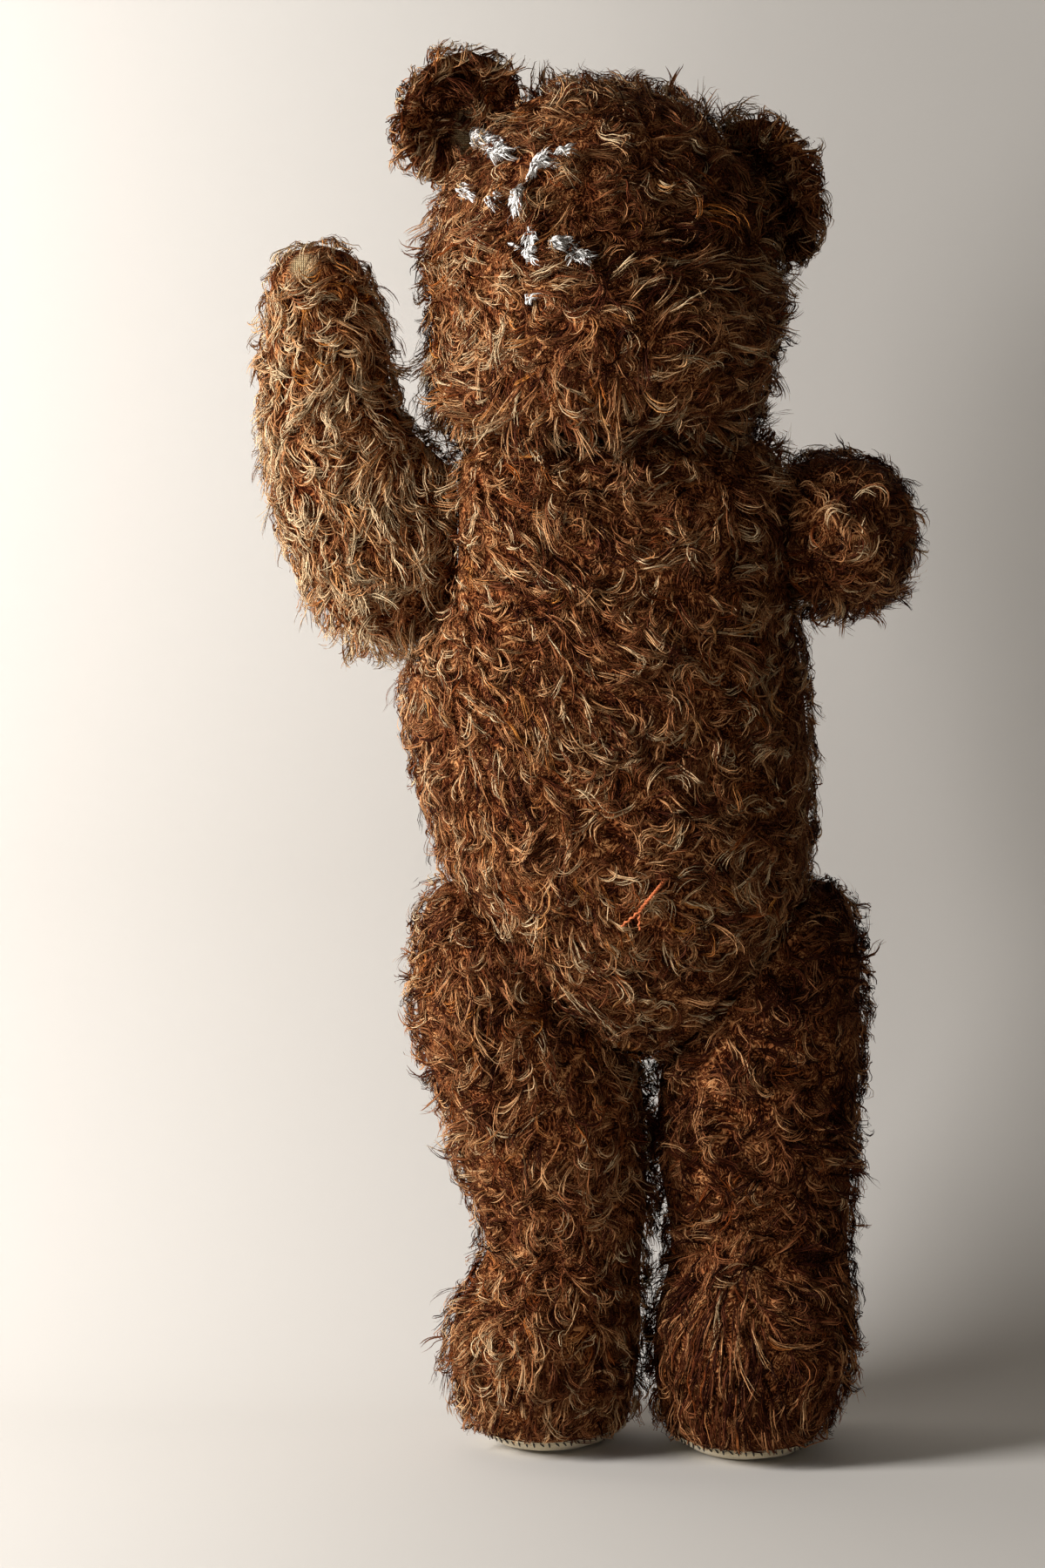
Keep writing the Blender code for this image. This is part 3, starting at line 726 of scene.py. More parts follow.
def store(w, geometry, name, value, kind="FLOAT"):
    inputs = {"Geometry": geometry, "Name": name, "Value": value}
    return w.get("GeometryNodeStoreNamedAttribute", inputs, data_type=kind, domain="POINT")


def nearest_on(w, mesh, place_at, value):
    """A value of the mesh at its point nearest to a place."""
    inputs = {"Mesh": mesh, "Sample Position": place_at, "Value": value}
    return w.get("GeometryNodeSampleNearestSurface", inputs, "Value", data_type="FLOAT_VECTOR")


def new_tree(name, numbers, output):
    """A geometry node tree that takes a mesh, named numbers, a seed and a finish: its wiring and its inputs."""
    tree = bpy.data.node_groups.new(name, "GeometryNodeTree")

    def take(label, kind, value=None):
        made = tree.interface.new_socket(label, in_out="INPUT", socket_type=f"NodeSocket{kind}")
        if value is not None:
            made.default_value = value

    take("Mesh", "Geometry")
    for label, value in numbers.items():
        take(label, "Int" if isinstance(value, int) else "Float", value)
    take("Finish", "Material")
    tree.interface.new_socket(output, in_out="OUTPUT", socket_type="NodeSocketGeometry")
    w = Wiring(tree)
    return w, {socket.name: Term(w, socket) for socket in w.add("NodeGroupInput").outputs if socket.name}


def end_tree(w, geometry, finish):
    """Ends a tree with real, smooth, finished meshes."""
    smooth = w.get("GeometryNodeSetShadeSmooth", {"Geometry": geometry})
    real = w.get("GeometryNodeRealizeInstances", {"Geometry": smooth})
    w.add("NodeGroupOutput", (w.get("GeometryNodeSetMaterial", {"Geometry": real, "Material": finish}),))
    return w.tree


# %% The pile's node tree
SEGMENTS = 6
CLUMP_SCALE, CLUMP_EDGES, CLUMP_PAINTED_SHADING = 145.0, (0.38, 0.60), 0.30
TUFT_SCALE, TUFT_PAINTED_SHADING = 205.0, 0.12
SWIRL_SCALE, SWIRL_DETAIL = 44.0, 2.0
PATCH_SCALE, PATCH_DETAIL = 30.0, 3.0
MOST_TURN, LEAST_TURN = 2.8, 0.1  # radians that a strand bends by
LOCK_LENGTH = 0.0018  # half of how far along a lock its strands start
WAVE_SIZE = 0.0005
HANG_DROP = 0.004
ROOT_DEPTH = 0.0003
SEAM_FRINGE = 0.0025
PILE_NUMBERS = {
    "Locks per square metre": 40000.0,
    "Strands in a lock": 4,
    "Length": 0.0122,
    "Width": 0.00046,
    "Height": 0.0021,
    "Curl": 4.5,
    "Swirl": 5.0,
    "Lock width": 0.0013,
    "Standing": 0.07,
    "Gathered": 0.75,
    "Lift": 1.3,
    "Clump height": 0.0020,
    "Lowest": -1.0,
    "Seed": 1,
}


def scattered_ribbons(w, given):
    """Flat ribbons at the strands' roots, which carry all that a strand has to know."""
    density = given["Locks per square metre"] * stored(w, "cover")
    inputs = {"Mesh": given["Mesh"], "Density": density, "Seed": given["Seed"]}
    scatter = w.add("GeometryNodeDistributePointsOnFaces", inputs, distribute_method="RANDOM")
    index, position = w.get("GeometryNodeInputIndex"), w.get("GeometryNodeInputPosition")
    locks = store(w, w.term(scatter, "Points"), "lock", index, "INT")
    locks = store(w, locks, "root", position, "FLOAT_VECTOR")
    locks = store(w, locks, "up", w.term(scatter, "Normal"), "FLOAT_VECTOR")
    inputs = {"Geometry": locks, "Amount": given["Strands in a lock"]}
    strands = store(w, w.get("GeometryNodeDuplicateElements", inputs, domain="POINT"), "strand", index, "INT")
    size = {"Size X": 2.0, "Size Y": 1.0, "Vertices X": 2, "Vertices Y": SEGMENTS + 1}
    across, along, _ = w.parts(position)
    flat = store(w, w.get("GeometryNodeMeshGrid", size), "across", across)
    flat = store(w, flat, "along", along + 0.5)
    placed = w.get("GeometryNodeInstanceOnPoints", {"Points": strands, "Instance": flat})
    return w.get("GeometryNodeRealizeInstances", {"Geometry": placed}), position


def pile_tree():
    w, given = new_tree("mohair_pile", PILE_NUMBERS, "Pile")
    ribbons, position = scattered_ribbons(w, given)
    lock, strand = stored(w, "lock", "INT"), stored(w, "strand", "INT")
    root, up = stored(w, "root", "FLOAT_VECTOR"), stored(w, "up", "FLOAT_VECTOR")
    along, across, hang = stored(w, "along"), stored(w, "across"), stored(w, "hang")
    wild = 1.0 - stored(w, "tidy")
    steps = iter(range(11, 99))  # each random draw has a seed of its own

    def draw(identity, low, high):
        return random_value(w, low, high, identity, given["Seed"] + next(steps))

    of_lock, of_strand = partial(draw, lock), partial(draw, strand)

    def on_skin(way):
        return way - up * w.dot(way, up)

    def clump(place_at):
        """0 in the gaps of the matted pile and 1 on its clumps."""
        return w.step(w.noise(place_at, CLUMP_SCALE, 1.0), *CLUMP_EDGES)

    def flow(place_at):
        """The way the pile lies at a place: the comb, swirled by noise and kept flat on the skin."""
        swirls = w.noise(place_at, SWIRL_SCALE, SWIRL_DETAIL, "Color") - (0.5, 0.5, 0.5)
        return w.vector("NORMALIZE", on_skin(stored(w, "comb", "FLOAT_VECTOR") + swirls * given["Swirl"] * wild))

    # Locks that share a tuft lean towards its middle, and lie, curl and rise alike.
    tufts = w.add("ShaderNodeTexVoronoi", {"Vector": root, "Scale": TUFT_SCALE})
    gathered = w.math("LESS_THAN", of_lock(0.0, 1.0), given["Gathered"])
    inwards = on_skin(w.term(tufts, "Position") - root) * gathered
    strong, large, raised = w.parts(w.term(tufts, "Color"))  # three random draws of each tuft

    # On the skin, a strand is an arc: it starts near the flow's way and turns as the flow and its curl ask.
    ahead = flow(root + inwards)
    aside = w.vector("CROSS_PRODUCT", up, ahead)
    size = 1.0 + (large - 0.5) * 0.7 * gathered
    length = given["Length"] * of_lock(0.7, 1.15) * of_strand(0.75, 1.15) * size * stored(w, "long")
    further = flow(root + inwards + ahead * given["Length"] * 0.8)
    follow = w.math("ARCTAN2", w.dot(further, aside), w.dot(further, ahead))
    calm = 0.15 + wild * 0.85
    heading = (of_lock(-0.5, 0.5) * (1.0 - gathered * 0.75) + of_strand(-0.12, 0.12)) * calm
    bent = (strong * 2.0 - 1.0) * gathered + of_lock(-0.9, 0.9) * (1.0 - gathered)
    curl = bent * bent * bent * given["Curl"] + of_lock(-0.3, 0.3) + of_strand(-0.3, 0.3)
    turn = w.math("MAXIMUM", w.math("MINIMUM", follow + curl * calm, MOST_TURN), -MOST_TURN)
    turn = w.math("SIGN", turn) * w.math("MAXIMUM", w.math("ABSOLUTE", turn), LEAST_TURN)
    angle = heading + turn * along
    forward = (w.math("SINE", angle) - w.math("SINE", heading)) / turn * length
    sideways = (w.math("COSINE", heading) - w.math("COSINE", angle)) / turn * length
    side = ahead * w.math("SINE", angle) - aside * w.math("COSINE", angle)
    spread = of_strand(-0.5, 0.5) * given["Lock width"] * (1.0 - along * 0.8)
    phase = along * of_lock(5.0, 10.0) + of_lock(0.0, 6.28) + of_strand(-0.8, 0.8)
    wave = w.math("SINE", phase) * along * WAVE_SIZE
    start = ahead * of_strand(-LOCK_LENGTH, LOCK_LENGTH)
    line = root + start + inwards * (along * 0.85) + ahead * forward + aside * sideways + side * (spread + wave)
    ground = nearest_on(w, given["Mesh"], line, position)
    over = nearest_on(w, given["Mesh"], line, w.get("GeometryNodeInputNormal"))
    hanging = (line - ground + up * along * HANG_DROP) * hang

    # Off the skin, it rises in an arch, over the clumps below it, and some tufts stand.
    stands = w.math("LESS_THAN", draw(strong * 9999.0, 0.0, 1.0), given["Standing"]) * wild
    arch = along * (1.0 - along) * 3.2 * (of_lock(0.6, 1.1) + raised * gathered * 0.8)
    tip = along * along * (of_lock(0.0, 0.6) + raised * gathered * wild * given["Lift"])
    standing = along * (1.6 + of_lock(0.0, 1.6)) * stands
    height = given["Height"] * ((arch + tip) * of_strand(0.5, 1.2) + standing) - ROOT_DEPTH
    height = height + clump(line) * given["Clump height"]
    lean = of_strand(-0.8, 0.8) + along * of_lock(-1.2, 1.2)
    across_way = side * w.math("COSINE", lean) + over * w.math("SINE", lean)
    taper = (1.0 - along**4.0 * 0.85) * (0.7 + of_strand(0.0, 0.6))
    centre = ground + hanging + over * height
    short = given["Lowest"] + of_strand(0.0, SEAM_FRINGE) - w.parts(centre)[2]
    lifted = w.joined(0.0, 0.0, w.math("MAXIMUM", short, 0.0))
    point = centre + lifted + across_way * (across * taper * given["Width"] * 0.5)
    pile = w.get("GeometryNodeSetPosition", {"Geometry": ribbons, "Position": point})

    # Its tone is its lock's own, with random patches, and painted light and shade: the part's and the head's
    # painted shading, lighter on top of clumps and raised tufts, and darker in the gaps between them.
    patches = w.noise(root, PATCH_SCALE, PATCH_DETAIL)
    _, hue, _ = w.parts(w.noise(root, PATCH_SCALE, PATCH_DETAIL, "Color"))
    tone = of_lock(-0.03, 0.81) + of_strand(0.0, 0.2) + (patches - 0.5) * 0.6 + stored(w, "faded")
    # Painted light on the clumps and raised tufts, and painted shade in the gaps between them.
    tone = tone + (clump(root) - 0.45) * CLUMP_PAINTED_SHADING + (raised - 0.5) * gathered * TUFT_PAINTED_SHADING
    pile = store(w, pile, "tone", w.clamp(tone))
    rust = of_lock(0.0, 1.0) ** 2.0 * 0.9 + (hue - 0.5) * 1.2
    return end_tree(w, store(w, pile, "rust", w.clamp(rust)), given["Finish"])


PILE = pile_tree()
print("the pile's tree has", len(PILE.nodes), "nodes")

# %% [markdown]
# The strands' colours are rounded to a few steps of tone and rust. Every strand of one step then looks the same, so
# the map for baked colours can be small: a grid of tiles, one for each step, which all its strands share.

# %% Running a tree
TONE_STEPS = 16
RUST_STEPS = 15
TILE_EDGE = 0.08  # share of a tile left free round its strand
LONGEST_STEP = 4.9 * MM
LEFT_OVER = ("lock", "strand", "root", "up", "comb", "cover", "long", "tidy", "bare", "hang", "faded")


def run_tree(name, source_mesh, tree, settings):
    """Runs a node tree on a mesh, and returns the result as an object of its own."""
    carrier = in_scene(f"{name}_carrier", source_mesh)
    modifier = carrier.modifiers.new("tree", "NODES")
    modifier.node_group = tree
    sockets = {s.name: s.identifier for s in tree.interface.items_tree if s.in_out == "INPUT"}
    for label, value in settings.items():
        modifier[sockets[label]] = value
    mesh = result_of(carrier)
    bpy.data.objects.remove(carrier)
    mesh.name = name
    return in_scene(name, mesh)


def drop_jumps(mesh):
    """Removes the strands that jump over a fold, where the nearest place on the skin changes sides."""
    points = coordinates(mesh).reshape(-1, 2, SEGMENTS + 1, 3)
    longest = np.linalg.norm(np.diff(points, axis=2), axis=-1).max(axis=(1, 2))
    jumping = np.repeat(longest > LONGEST_STEP, 2 * (SEGMENTS + 1))
    made = opened(mesh)
    bmesh.ops.delete(made, geom=[vert for vert, jumps in zip(made.verts, jumping) if jumps], context="VERTS")
    made.to_mesh(mesh)
    made.free()
    print("  dropped", int((longest > LONGEST_STEP).sum()), "strands that jump")


def lay_out_tiles(mesh, bleached):
    """Rounds the strands' colours to steps, and gives each strand its step's tile on the baking map."""
    tone, rust = (
        np.minimum((take_attribute(mesh, name) * steps).astype(int), steps - 1)
        for name, steps in (("tone", TONE_STEPS), ("rust", RUST_STEPS))
    )
    row, rust = (RUST_STEPS, rust * 0.0) if bleached else (rust, (rust + 0.5) / RUST_STEPS)
    give_attributes(mesh, bleach=np.full(len(tone), float(bleached)), tone=(tone + 0.5) / TONE_STEPS, rust=rust)
    inner = 1 - 2 * TILE_EDGE
    u = (tone + TILE_EDGE + inner * (take_attribute(mesh, "across") + 1) / 2) / TONE_STEPS
    v = (row + TILE_EDGE + inner * take_attribute(mesh, "along")) / (RUST_STEPS + 1)
    corner = np.empty(len(mesh.loops), dtype=int)
    mesh.loops.foreach_get("vertex_index", corner)
    layer = mesh.uv_layers.new(name="OFBake")
    layer.uv.foreach_set("vector", np.stack([u, v], 1)[corner].ravel())


# %% Growing a pile as a plain mesh


def grow(name, source_mesh, locks, carried=None, bleached=False, **settings):
    """Grows a pile of about so many locks from a skin, which may carry other values for this pile."""
    mesh = source_mesh.copy()
    give_attributes(mesh, **(carried or {}))
    cover = take_attribute(mesh, "cover")
    area = sum(face.area * float(np.mean(cover[list(face.vertices)])) for face in mesh.polygons)
    labels = {"Locks per square metre": locks / area, "Finish": STRANDS}
    labels |= {label.replace("_", " ").capitalize(): value for label, value in settings.items()}
    pile = run_tree(name, mesh, PILE, labels)
    drop_jumps(pile.data)
    lay_out_tiles(pile.data, bleached)
    for left_over in LEFT_OVER:
        if left_over in pile.data.attributes:
            pile.data.attributes.remove(pile.data.attributes[left_over])
    print(name, len(pile.data.polygons) // SEGMENTS, "strands,", len(pile.data.polygons) * 2, "triangles")
    return pile


# %% [markdown]
# ## Colours of old mohair
#
# The pile is brown, with a few rusty and a few almost black strands, and painted shade darkens each strand towards
# its root. Each strand carries its own tone, and how far along it a point is, and the material reads both. A ribbon
# stands for a few fibres that cling together, so lines of painted shade run along it, between its fibres.

# %% Terms for finishes


def ramp(w, value, stops):
    made = w.add("ShaderNodeValToRGB", (value,))
    elements = made.color_ramp.elements
    while len(elements) < len(stops):
        elements.new(0.5)
    for element, (at, colour) in zip(elements, stops.items()):
        element.position, element.color = at, (*colour, 1)
    return w.term(made)


def attribute(w, name):
    return w.get("ShaderNodeAttribute", (), "Fac", attribute_name=name, attribute_type="GEOMETRY")


def mix(w, amount, first, second):
    inputs = {"Factor": amount, "A": first, "B": second}
    return w.get("ShaderNodeMix", inputs, "Result", data_type="RGBA", clamp_factor=True)


def object_place(w):
    return w.get("ShaderNodeTexCoord", output="Object")


def finish(w, shader, colour, height, strength, depth):
    """Gives a shader its colour, and a bump from a height."""
    w.give(shader.inputs["Base Color"], colour)
    inputs = {"Strength": strength, "Distance": depth, "Height": height}
    w.give(shader.inputs["Normal"], w.get("ShaderNodeBump", inputs))


# %% Strands
FIBRES = 2  # in one ribbon
WHITE = (1.0, 0.98, 0.95)
BROWN = {
    0.0: (0.026, 0.0042, 0.0014),
    0.25: (0.132, 0.0350, 0.0138),
    0.5: (0.430, 0.172, 0.070),
    0.75: (0.900, 0.510, 0.238),
    1.0: (1.000, 0.825, 0.530),
}
RUSTY = {0.0: (0.045, 0.008, 0.002), 0.5: (0.42, 0.110, 0.022), 1.0: (0.88, 0.38, 0.085)}


def strand_material():
    made, w, shader = new_material("mohair_strands", Roughness=0.6, Specular_IOR_Level=0.05)
    along, across, tone = (attribute(w, name) for name in ("along", "across", "tone"))
    colour = mix(w, w.step(attribute(w, "rust"), 0.5, 1.0), ramp(w, tone, BROWN), ramp(w, tone, RUSTY))
    twist = across * (math.pi * FIBRES * 0.5) + w.math("SINE", tone * 97.0 + along * 5.0) * 0.9
    fibres = w.step(w.math("COSINE", twist), -0.9, 0.6)
    speckles = w.step(w.noise(w.joined(across, along * 22.0, tone * 60.0), 1.0, 2.0), 0.3, 0.65)
    # Painted shade: darker lines between a ribbon's fibres, and darker towards its root; the speckles are the
    # strands' own uneven tone.
    shade_and_speckles = (0.65 + fibres * 0.35) * (0.5 + w.step(along, 0.0, 0.3) * 0.5) * (0.6 + speckles * 0.45)
    colour = colour * w.joined(shade_and_speckles, shade_and_speckles**1.4, shade_and_speckles**1.7)  # shadows among fibres are warm
    colour = mix(w, attribute(w, "bleach"), colour, WHITE)
    finish(w, shader, colour, fibres * 0.4 - across * across, 0.9, 0.0003)
    return made


# %% Undercoat
THREAD_PITCH = 0.75 * MM
HAIR_SCALE = 1500.0
HAIR_LAYERS = (((1.0, 1.0, 0.16), 70.0, 0.0), ((0.25, 1.0, 0.6), 90.0, 0.3))  # stretch, warp's scale and offset
WARP = 0.022
UNDER = {
    0.1: (0.022, 0.0036, 0.0012),
    0.4: (0.110, 0.026, 0.0085),
    0.7: (0.32, 0.108, 0.036),
    1.0: (0.62, 0.29, 0.115),
}
WEAVE = {0.2: (0.16, 0.10, 0.045), 0.6: (0.50, 0.37, 0.20), 0.95: (0.78, 0.64, 0.42)}


def undercoat_material():
    """Matted short pile close to the cloth, and where the pile is gone a plain weave that faces the front."""
    made, w, shader = new_material("matted_undercoat", Roughness=0.9, Specular_IOR_Level=0.02)
    place_of = object_place(w)
    layers = []
    for stretch, warp_scale, offset in HAIR_LAYERS:
        warp = w.noise(place_of + (offset,) * 3, warp_scale, 1.0, "Color") - (0.5, 0.5, 0.5)
        layers.append(w.step(w.noise((place_of + warp * WARP) * stretch, HAIR_SCALE, 1.5), 0.42, 0.68))
    lines = w.math("MAXIMUM", *layers)
    clumps = w.step(w.noise(place_of, CLUMP_SCALE, 1.0), *CLUMP_EDGES)
    x, _, z = w.parts(place_of * (math.pi / THREAD_PITCH))
    weave = w.math("ABSOLUTE", w.math("SINE", x) * w.math("SINE", z))  # each thread goes over and under the next
    woven = ramp(w, weave * 0.6 + w.noise(place_of, 900.0, 2.0) * 0.5, WEAVE)
    bare = attribute(w, "bare")
    # Painted shade: the undercoat is darker in the gaps between the clumps and lighter on them; the lines are its own
    # fine strands.
    colour = mix(w, bare, ramp(w, lines * 0.75 + clumps * 0.25 - 0.02, UNDER), woven)
    height = (lines + clumps * 1.6) * (1.0 - bare) + weave * bare * 0.4
    finish(w, shader, colour, height, 1.0, 0.0008)
    return made


STRANDS = strand_material()
UNDERCOAT = undercoat_material()
for skin in (*skins.values(), *ears.values()):
    skin.data.materials.append(UNDERCOAT)

# %% [markdown]
# Each body part has its own pile, with its own share of the strands. The torso's is in two pieces, front and back.

# %% Growing the pile
LEG_LIFT = 2.2
ARM_LIFT = 1.3
LIMB_LOCKS = {"right_arm": 1780, "left_arm": 1370, "right_leg": 2640, "left_leg": 2620}
torso, head = skins["torso"].data, skins["head"].data
in_front = between(normals(torso)[:, 1], 0.2, 0.15)
torso_cover = take_attribute(torso, "cover")
front, back = {"cover": torso_cover * in_front}, {"cover": torso_cover * (1 - in_front)}
piles = {
    "torso_front_pile": grow("torso_front_pile", torso, 3870, front, seed=100),
    "torso_back_pile": grow("torso_back_pile", torso, 1620, back, seed=200),
    "head_pile": grow("head_pile", head, 3950, seed=300, standing=0.12, lift=2.8),
    "right_ear_pile": grow("right_ear_pile", ears["right_ear"].data, 560, seed=800, length=0.0115),
    "left_ear_pile": grow("left_ear_pile", ears["left_ear"].data, 560, seed=900, length=0.0115),
}
for seed, (limb, locks) in enumerate(LIMB_LOCKS.items(), 4):
    lowest, lift = (SEAM_HEIGHT[limb], LEG_LIFT) if limb in SEAM_HEIGHT else (-1.0, ARM_LIFT)
    name = f"{limb}_pile"
    piles[name] = grow(name, skins[limb].data, locks, seed=seed * 100, lowest=lowest, lift=lift)

# %% [markdown]
# A trail of white tufts lies on the forehead and beside the muzzle. They are short and wide, lie over the
# brown pile, and each has a direction of its own.

# %% White tufts
WHITE_TUFTS = [  # share of the head's width and height, half its length and width in mm, and the slope it lies at
    (0.175, 0.815, 3.5, 0.8, -0.25),
    (0.200, 0.790, 4.5, 1.0, -0.40),
    (0.320, 0.775, 4.5, 0.8, -0.15),
    (0.370, 0.790, 2.5, 0.7, 0.10),
    (0.269, 0.688, 4.5, 1.4, -1.75),
    (0.290, 0.735, 2.5, 0.6, 0.50),
    (0.128, 0.680, 1.6, 0.8, -0.40),
    (0.197, 0.682, 2.2, 0.6, -0.75),
    (0.298, 0.575, 2.8, 1.0, -1.40),
    (0.284, 0.525, 1.8, 0.6, -0.80),
    (0.366, 0.545, 3.0, 1.0, -0.15),
    (0.420, 0.515, 3.2, 0.8, -0.60),
    (0.488, 0.910, 1.2, 0.5, -0.90),
    (0.290, 0.390, 1.0, 0.5, 0.50),
]
WHITE_LOCKS = 230
FINER = 4  # times, in each direction, so that the skin can carry shapes as small as these tufts
AS_TUFTS = dict(length=0.0058, width=0.00078, height=0.0042, lock_width=0.0008, clump_height=0.0034)
AS_TUFTS |= dict(swirl=0.5, curl=0.6, standing=0.0, gathered=0.0, seed=1000)


def finer_part(mesh, low, high):
    """A copy of the part of a skin inside a box, with small faces."""
    made = opened(mesh)
    outside = [vert for vert in made.verts if not all(low[k] < vert.co[k] < high[k] for k in range(3))]
    bmesh.ops.delete(made, geom=outside, context="VERTS")
    bmesh.ops.subdivide_edges(made, edges=made.edges[:], cuts=FINER - 1, use_grid_fill=True)
    return closed(made, "finer_part")


def white_tufts():
    low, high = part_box("head_cover")
    part = finer_part(head, (low.x - 0.01, low.y - 0.01, low.z + 0.02), (high.x - 0.04, 0.0, high.z + 0.01))
    points = coordinates(part)
    cover, comb = np.zeros(len(points)), np.zeros((len(points), 3))
    for across, up, half_length, half_width, slope in WHITE_TUFTS:
        right = points[:, 0] - (low.x + (high.x - low.x) * across)
        above = points[:, 2] - (low.z + (high.z - low.z) * up)
        far_along = (right * math.cos(slope) + above * math.sin(slope)) / (half_length * MM)
        far_aside = (above * math.cos(slope) - right * math.sin(slope)) / (half_width * MM)
        strength = np.clip(3.0 - np.hypot(far_along, far_aside) * 2.5, 0, 1)
        stronger = strength > cover
        cover[stronger] = strength[stronger]
        comb[stronger] = (math.cos(slope), 0, math.sin(slope))
    carried = {"cover": cover, "comb": comb, "long": np.ones(len(points))}
    return grow("white_tufts", part, WHITE_LOCKS, carried, bleached=True, **AS_TUFTS)


piles["white_tufts"] = white_tufts()

# %% [markdown]
# ## Feet
#
# A foot ends in a felt sole, cut to shape and overcast to the mohair with dark thread. The leg's skin is cut at the
# seam. Both halves turn in at their edges, as cloth does in a seam, and are closed, so neither is a bare sheet.

# %% Soles
TUCK = 0.9 * MM
SORTED_ALONG = Vector((1.0, 0.3, 0.1))  # gives the faces, which the tuck adds in any order, the same one each run
FELT_COLOURS = {0.2: (0.30, 0.22, 0.12), 0.55: (0.62, 0.52, 0.34), 0.9: (0.78, 0.69, 0.50)}


def half_of(skin, name, height, above):
    """The part of a skin above or below a height, closed, with its edge tucked in."""
    made = opened(skin.data)
    way = Vector((0, 0, 1))
    everything = [*made.verts, *made.edges, *made.faces]
    cut = {"plane_co": (0, 0, height), "plane_no": way, "clear_inner": above, "clear_outer": not above}
    bmesh.ops.bisect_plane(made, geom=everything, **cut)
    rim = [edge for edge in made.edges if edge.is_boundary]
    middle = sum((edge.verts[0].co for edge in rim), Vector()) / len(rim)
    for depth, drop in ((TUCK, TUCK * 0.6), (TUCK * 3, TUCK)):
        grown = bmesh.ops.extrude_edge_only(made, edges=rim)["geom"]
        rim = [part for part in grown if isinstance(part, bmesh.types.BMEdge) and part.is_boundary]
        for vert in {vert for edge in rim for vert in edge.verts}:
            inwards = (middle - vert.co).normalized()
            vert.co += inwards * depth + way * (drop if above else -drop)
    bmesh.ops.contextual_create(made, geom=rim)
    bmesh.ops.triangulate(made, faces=[face for face in made.faces if len(face.verts) > 4])
    bmesh.ops.recalc_face_normals(made, faces=made.faces)
    made.faces.sort(key=lambda face: face.calc_center_median().dot(SORTED_ALONG))
    return in_scene(name, closed(made, name))


def felt_material():
    made, w, shader = new_material("cream_felt", Roughness=0.95, Specular_IOR_Level=0.15, Sheen_Weight=0.3)
    fuzz, stains = w.noise(object_place(w), 1400.0, 3.0), w.noise(object_place(w), 90.0, 3.0)
    finish(w, shader, ramp(w, fuzz * 0.5 + stains * 0.6, FELT_COLOURS), fuzz, 0.6, 0.0005)
    return made


FELT = felt_material()
soles = {}
for leg, height in SEAM_HEIGHT.items():
    whole = skins[leg]
    soles[leg] = half_of(whole, f"{leg}_felt_sole", height, above=False)
    soles[leg].data.materials.append(FELT)
    skins[leg] = half_of(whole, f"{leg}_cloth", height, above=True)
    skins[leg].data.materials.append(UNDERCOAT)
    bpy.data.objects.remove(whole)

# %% [markdown]
# ## Overcast stitches
#
# Each stitch is a short, plump loop of dark thread that crosses the seam at a slant. The seam's outline becomes a
# curve, and a node tree sets a stretched sphere on it at every step, slanted across the seam.

# %% Stitches round the soles
STITCH_NUMBERS = {"Pitch": 3.0 * MM, "Stitch length": 3.4 * MM, "Thread radius": 0.42 * MM, "Slant": 0.5, "Seed": 3}
CAPSULE = {"Segments": 8, "Rings": 6, "Radius": 1.0}
SEAM_POINTS = 120
BELOW_SEAM = 0.7 * MM


def seam_outline(sole, height):
    """The seam's points in order, a little outside the felt's edge."""
    tree = BVHTree.FromObject(sole, bpy.context.evaluated_depsgraph_get())
    middle = sum((vert.co for vert in sole.data.vertices), Vector()) / len(sole.data.vertices)
    points = []
    for k in range(SEAM_POINTS):
        angle = FULL_TURN * k / SEAM_POINTS
        out = Vector((math.cos(angle), math.sin(angle), 0))
        hit = tree.ray_cast(Vector((middle.x, middle.y, height - BELOW_SEAM)) + out * 0.2, -out)[0]
        if hit is not None:
            points.append(hit)
    mesh = bpy.data.meshes.new("seam")
    mesh.from_pydata(points, [(k, (k + 1) % len(points)) for k in range(len(points))], [])
    return mesh


def stitch_tree():
    w, given = new_tree("overcast_stitches", STITCH_NUMBERS, "Stitches")
    curve = w.get("GeometryNodeMeshToCurve", {"Mesh": given["Mesh"]})
    spaced = w.add("GeometryNodeCurveToPoints", {"Curve": curve, "Length": given["Pitch"]}, mode="LENGTH")
    size = w.joined(given["Thread radius"], given["Thread radius"], given["Stitch length"] * 0.5)
    capsule = w.get("GeometryNodeMeshUVSphere", CAPSULE)
    shape = w.get("GeometryNodeTransform", {"Geometry": capsule, "Scale": size})
    slant = given["Slant"] + random_value(w, -0.35, 0.35, w.get("GeometryNodeInputIndex"), given["Seed"])
    outwards = w.vector("CROSS_PRODUCT", w.term(spaced, "Tangent"), (0.0, 0.0, 1.0))
    turned = w.get("FunctionNodeAxisAngleToRotation", {"Axis": outwards, "Angle": slant})
    inputs = {"Points": w.term(spaced, "Points"), "Instance": shape, "Rotation": turned}
    return end_tree(w, w.get("GeometryNodeInstanceOnPoints", inputs), given["Finish"])


def thread_material(name, dark, light):
    """Twisted thread: fine slanting lines from light to dark."""
    made, w, shader = new_material(name, Roughness=0.7)
    inputs = {"Vector": object_place(w), "Scale": 700.0, "Distortion": 2.0}
    twist = w.get("ShaderNodeTexWave", inputs, "Fac", bands_direction="DIAGONAL")
    w.give(shader.inputs["Base Color"], mix(w, twist, dark, light))
    return made


STITCHES = stitch_tree()
DARK_THREAD = thread_material("dark_thread", (0.008, 0.006, 0.005), (0.045, 0.035, 0.028))
stitches = {}
for leg, sole in soles.items():
    name = f"{leg}_stitches"
    stitches[leg] = run_tree(name, seam_outline(sole, SEAM_HEIGHT[leg]), STITCHES, {"Finish": DARK_THREAD})
    print(name, len(stitches[leg].data.polygons), "faces")

